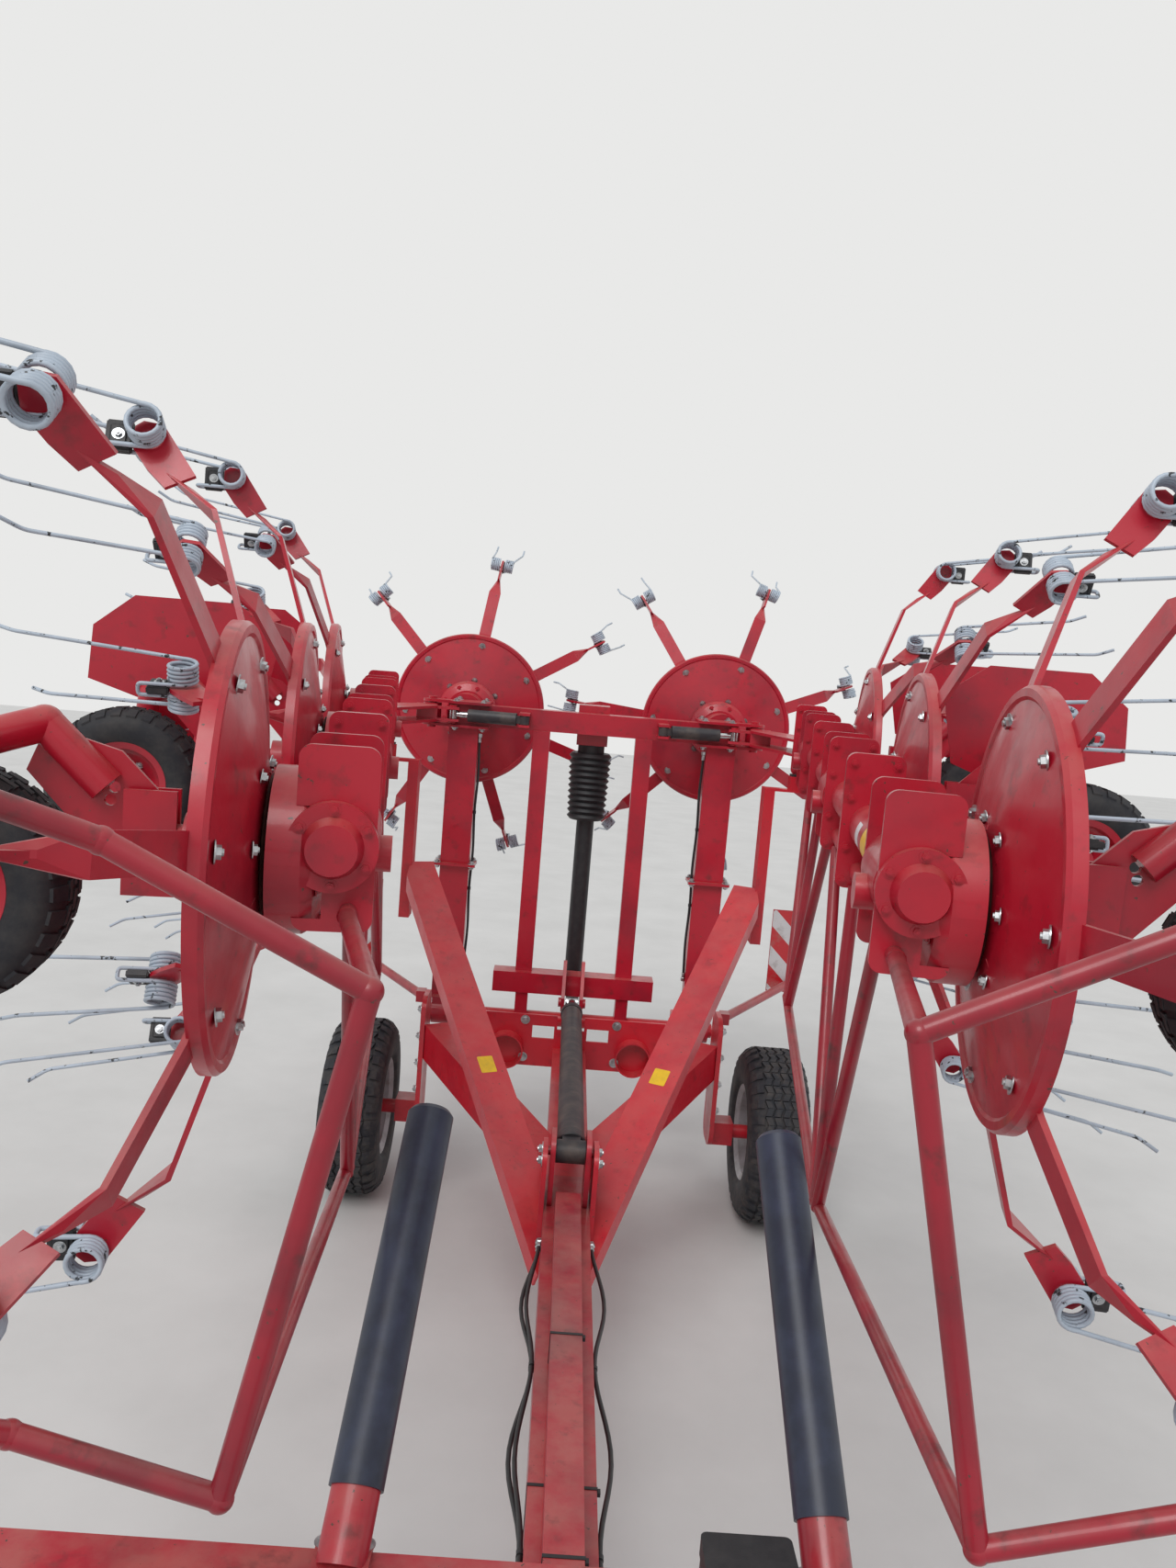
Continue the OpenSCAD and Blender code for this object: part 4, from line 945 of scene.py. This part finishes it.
def add_drum_seals():
    """Greasy seam between each gearbox's drum and its disc."""
    seal = [(0.060, -0.0745), (0.126, -0.0745), (0.131, -0.071), (0.128, -0.0665),
            (0.100, -0.0645), (0.060, -0.0645)]
    for name, side, i, label in each_rotor():
        spun("drum_seal_" + label, seal, 64, "grease", "tilt" if i == 0 else "wing_" + name,
             rotor_place(side, i) @ ALONG_Z)


def add_lift_gland():
    """Gland nut and end band on the lift cylinder's barrel."""
    foot, top = Vector((0, -1.380, 0.815)), Vector((0, 0.395, 0.800))
    run = PIVOT + turned(LEAN, "X") @ (top - PIVOT) - foot
    lift = CHASSIS @ at(*foot) @ Matrix.Rotation(math.atan2(run.z, run.y), 4, "X") @ ALONG_Y
    bm = bmesh.new()
    lathe(bm, [(0.0262, 1.566), (0.0500, 1.566), (0.0505, 1.572), (0.0505, 1.606),
               (0.0470, 1.612), (0.0300, 1.616), (0.0262, 1.614)], 48, lift)
    lathe(bm, [(0.0466, 0.036), (0.0500, 0.040), (0.0500, 0.090), (0.0466, 0.094)], 48, lift)
    finished("lift_gland", bm, "casting", "lift_barrel")


def add_ties():
    """Cable ties over the drawbar's top tube and its main box."""
    top_tube, box = (0.0402, 0.6501, 0.7302), (0.0752, 0.4998, 0.6502)
    band = 0.0015
    bm = bmesh.new()
    for y, (wide, low, high) in ((-2.30, top_tube), (-3.05, top_tube), (-3.62, top_tube),
                                 (-2.75, box), (-3.85, box)):
        for (x0, z0), (x1, z1) in (((-wide - band, low - band), (-wide, high + band)),
                                   ((wide, low - band), (wide + band, high + band)),
                                   ((-wide, high), (wide, high + band))):
            block(bm, (x0, y - 0.0045, z0), (x1, y + 0.0045, z1), CHASSIS)
        # The tie's lock
        block(bm, (wide + 0.001, y - 0.007, high - 0.014),
              (wide + 0.008, y + 0.007, high - 0.004), CHASSIS)
    finished("cable_ties", bm, "plastic", "chassis", degrees=30)


def add_control_box():
    """Tub, lid with its seam, and two cable glands."""
    bm = bmesh.new()
    low, high = (Vector(p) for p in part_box("control_box"))
    middle, size = (low + high) / 2, high - low
    for rise, tall, less, corner in ((0.0, 0.070, 0.004, 0.012),
                                     (0.072, size.z - 0.072, 0.0, 0.012),
                                     (0.069, 0.004, 0.010, 0.010)):
        card(bm, size.x - less, size.y - less, tall, corner,
             at(middle.x, middle.y, low.z + rise))
    for x in (-0.035, 0.035):
        lathe(bm, [(0, -0.016), (0.009, -0.016), (0.012, -0.010), (0.012, 0.0), (0, 0.0)], 24,
              at(middle.x + x, low.y + 0.002, low.z + 0.035) @ ALONG_Y)
    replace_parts(finished("control_box_case", bm, "plastic", "chassis"), "control_box")


def make_trim():
    """Seals, glands, end caps, ties, rubber pads and the control box."""
    add_drum_seals()
    add_lift_gland()
    for name, side in SIDES.items():
        base = CHASSIS @ on_side(side)
        add_card("bar_cap_" + name, "plastic", "chassis", (0.093, 0.093, 0.007), 0.010,
                 base @ at(1.120, -3.225, 0.7753) @ turned(90, "Y"))
        add_card("rest_pad_" + name, "hose", "chassis", (0.084, 0.054, 0.009), 0.006,
                 base @ at(0.905, 0, 1.998))
    add_ties()
    add_control_box()


def set_camera():
    """Camera at the photograph's place."""
    cam = bpy.data.cameras.new("camera")
    cam.sensor_width = 36
    cam.lens = 27.14
    cam.clip_start = 0.05
    cam.clip_end = 200
    obj = linked("camera", cam)
    aim = Vector((0.0191, 0.9947, -0.1007)).normalized()
    right = Vector((0.9967, -0.0109, 0.0810))
    right = (right - right.dot(aim) * aim).normalized()
    obj.matrix_world = at(-0.1135, 0.321, 1.837) @ Matrix(
        (right, right.cross(aim), -aim)).transposed().to_4x4()
    bpy.context.scene.camera = obj


def set_stage():
    """Camera, pale floor and soft light."""
    set_camera()
    scene = bpy.context.scene
    bm = bmesh.new()
    bmesh.ops.create_grid(bm, x_segments=1, y_segments=1, size=30, matrix=at(0, 3, -HITCH_UP))
    floor = linked("floor", mesh_of(bm, "floor"))
    mat, tree, place = blank("pale studio floor", 0.85)
    feed(tree, "Base Color", over(tree, patches(tree, place, 0.6, 0.3, 0.7),
                                  srgb("#d4d3d0"), srgb("#cbcac7")))
    floor.data.materials.append(mat)
    # Soft light from all round; camera, glossy and transmission rays see a pale backdrop
    scene.world = bpy.data.worlds.new("studio")
    scene.world.use_nodes = True
    tree = scene.world.node_tree
    sky = tree.nodes["Background"]
    sky.inputs["Color"].default_value = srgb("#f4f6fa")
    sky.inputs["Strength"].default_value = 0.66
    seen = add(tree, "ShaderNodeBackground", {"Color": srgb("#e9e9e8"), "Strength": 1.0})
    path = add(tree, "ShaderNodeLightPath")
    shown = path.outputs["Is Camera Ray"]
    for kind in ("Is Glossy Ray", "Is Transmission Ray"):
        shown = maths(tree, "MAXIMUM", shown, path.outputs[kind])
    both = add(tree, "ShaderNodeMixShader", {0: shown, 1: sky.outputs[0], 2: seen.outputs[0]})
    tree.links.new(both.outputs[0], tree.nodes["World Output"].inputs[0])
    sun = bpy.data.lights.new("soft sun", "SUN")
    sun.energy = 1.5
    sun.angle = 0.6
    linked("soft sun", sun).rotation_euler = (math.radians(38), math.radians(-18), 0)
    scene.view_settings.view_transform = "Standard"


# Operators and panel

class TEDDER_OT_stage(bpy.types.Operator):
    """Camera, floor and light"""
    bl_idname = "tedder.stage"
    bl_label = "Stage"

    def execute(self, context):
        set_stage()
        return {"FINISHED"}


class TEDDER_OT_paint(bpy.types.Operator):
    """Finishes of all the frame's own pieces"""
    bl_idname = "tedder.paint"
    bl_label = "Paint"

    def execute(self, context):
        mix_finishes()
        paint_frame()
        return {"FINISHED"}


class TEDDER_OT_hoses(bpy.types.Operator):
    """Hydraulic hoses with fittings and clips"""
    bl_idname = "tedder.hoses"
    bl_label = "Hoses"

    def execute(self, context):
        make_hoses()
        return {"FINISHED"}


class TEDDER_OT_transport_wheels(bpy.types.Operator):
    """Tyres, treads, rims and hub caps"""
    bl_idname = "tedder.transport_wheels"
    bl_label = "Transport wheels"

    def execute(self, context):
        make_transport_wheels()
        return {"FINISHED"}


class TEDDER_OT_gauge_wheels(bpy.types.Operator):
    """Small tyres and rims under the rotors"""
    bl_idname = "tedder.gauge_wheels"
    bl_label = "Gauge wheels"

    def execute(self, context):
        make_gauge_wheels()
        return {"FINISHED"}


class TEDDER_OT_tines(bpy.types.Operator):
    """Spring tines with their clamps"""
    bl_idname = "tedder.tines"
    bl_label = "Tines"

    def execute(self, context):
        make_tines()
        return {"FINISHED"}


class TEDDER_OT_fasteners(bpy.types.Operator):
    """Bolts of all plates and flanges, after wheels and tines"""
    bl_idname = "tedder.fasteners"
    bl_label = "Fasteners"

    def execute(self, context):
        make_fasteners()
        return {"FINISHED"}


class TEDDER_OT_signs(bpy.types.Operator):
    """Blank stickers and warning boards"""
    bl_idname = "tedder.signs"
    bl_label = "Signs"

    def execute(self, context):
        make_signs()
        return {"FINISHED"}


class TEDDER_OT_trim(bpy.types.Operator):
    """Seals, glands, caps, ties and the control box"""
    bl_idname = "tedder.trim"
    bl_label = "Trim"

    def execute(self, context):
        make_trim()
        return {"FINISHED"}


OPERATORS = (
    TEDDER_OT_stage, TEDDER_OT_paint, TEDDER_OT_hoses, TEDDER_OT_transport_wheels,
    TEDDER_OT_gauge_wheels, TEDDER_OT_tines, TEDDER_OT_fasteners, TEDDER_OT_signs,
    TEDDER_OT_trim,
)


class TEDDER_PT_finish(bpy.types.Panel):
    """Colours, sizes and making of the tedder's looks"""
    bl_idname = "TEDDER_PT_finish"
    bl_label = "Hay tedder"
    bl_space_type = "VIEW_3D"
    bl_region_type = "UI"
    bl_category = "Tedder"

    def draw(self, context):
        for group in (context.scene.tedder_colours, context.scene.tedder_sizes):
            for key in group.bl_rna.properties.keys():
                if key not in ("rna_type", "name"):
                    self.layout.prop(group, key)
        for kind in OPERATORS:
            self.layout.operator(kind.bl_idname)


CLASSES = (TedderColours, TedderSizes, *OPERATORS, TEDDER_PT_finish)


def register():
    for kind in CLASSES:
        bpy.utils.register_class(kind)
    bpy.types.Scene.tedder_colours = bpy.props.PointerProperty(type=TedderColours)
    bpy.types.Scene.tedder_sizes = bpy.props.PointerProperty(type=TedderSizes)


def unregister():
    del bpy.types.Scene.tedder_colours
    del bpy.types.Scene.tedder_sizes
    for kind in reversed(CLASSES):
        bpy.utils.unregister_class(kind)


def main():
    register()
    bpy.ops.tedder.stage()
    bpy.ops.tedder.paint()
    bpy.ops.tedder.hoses()
    bpy.ops.tedder.transport_wheels()
    bpy.ops.tedder.gauge_wheels()
    bpy.ops.tedder.tines()
    bpy.ops.tedder.fasteners()
    bpy.ops.tedder.signs()
    bpy.ops.tedder.trim()


if __name__ == "__main__":
    main()
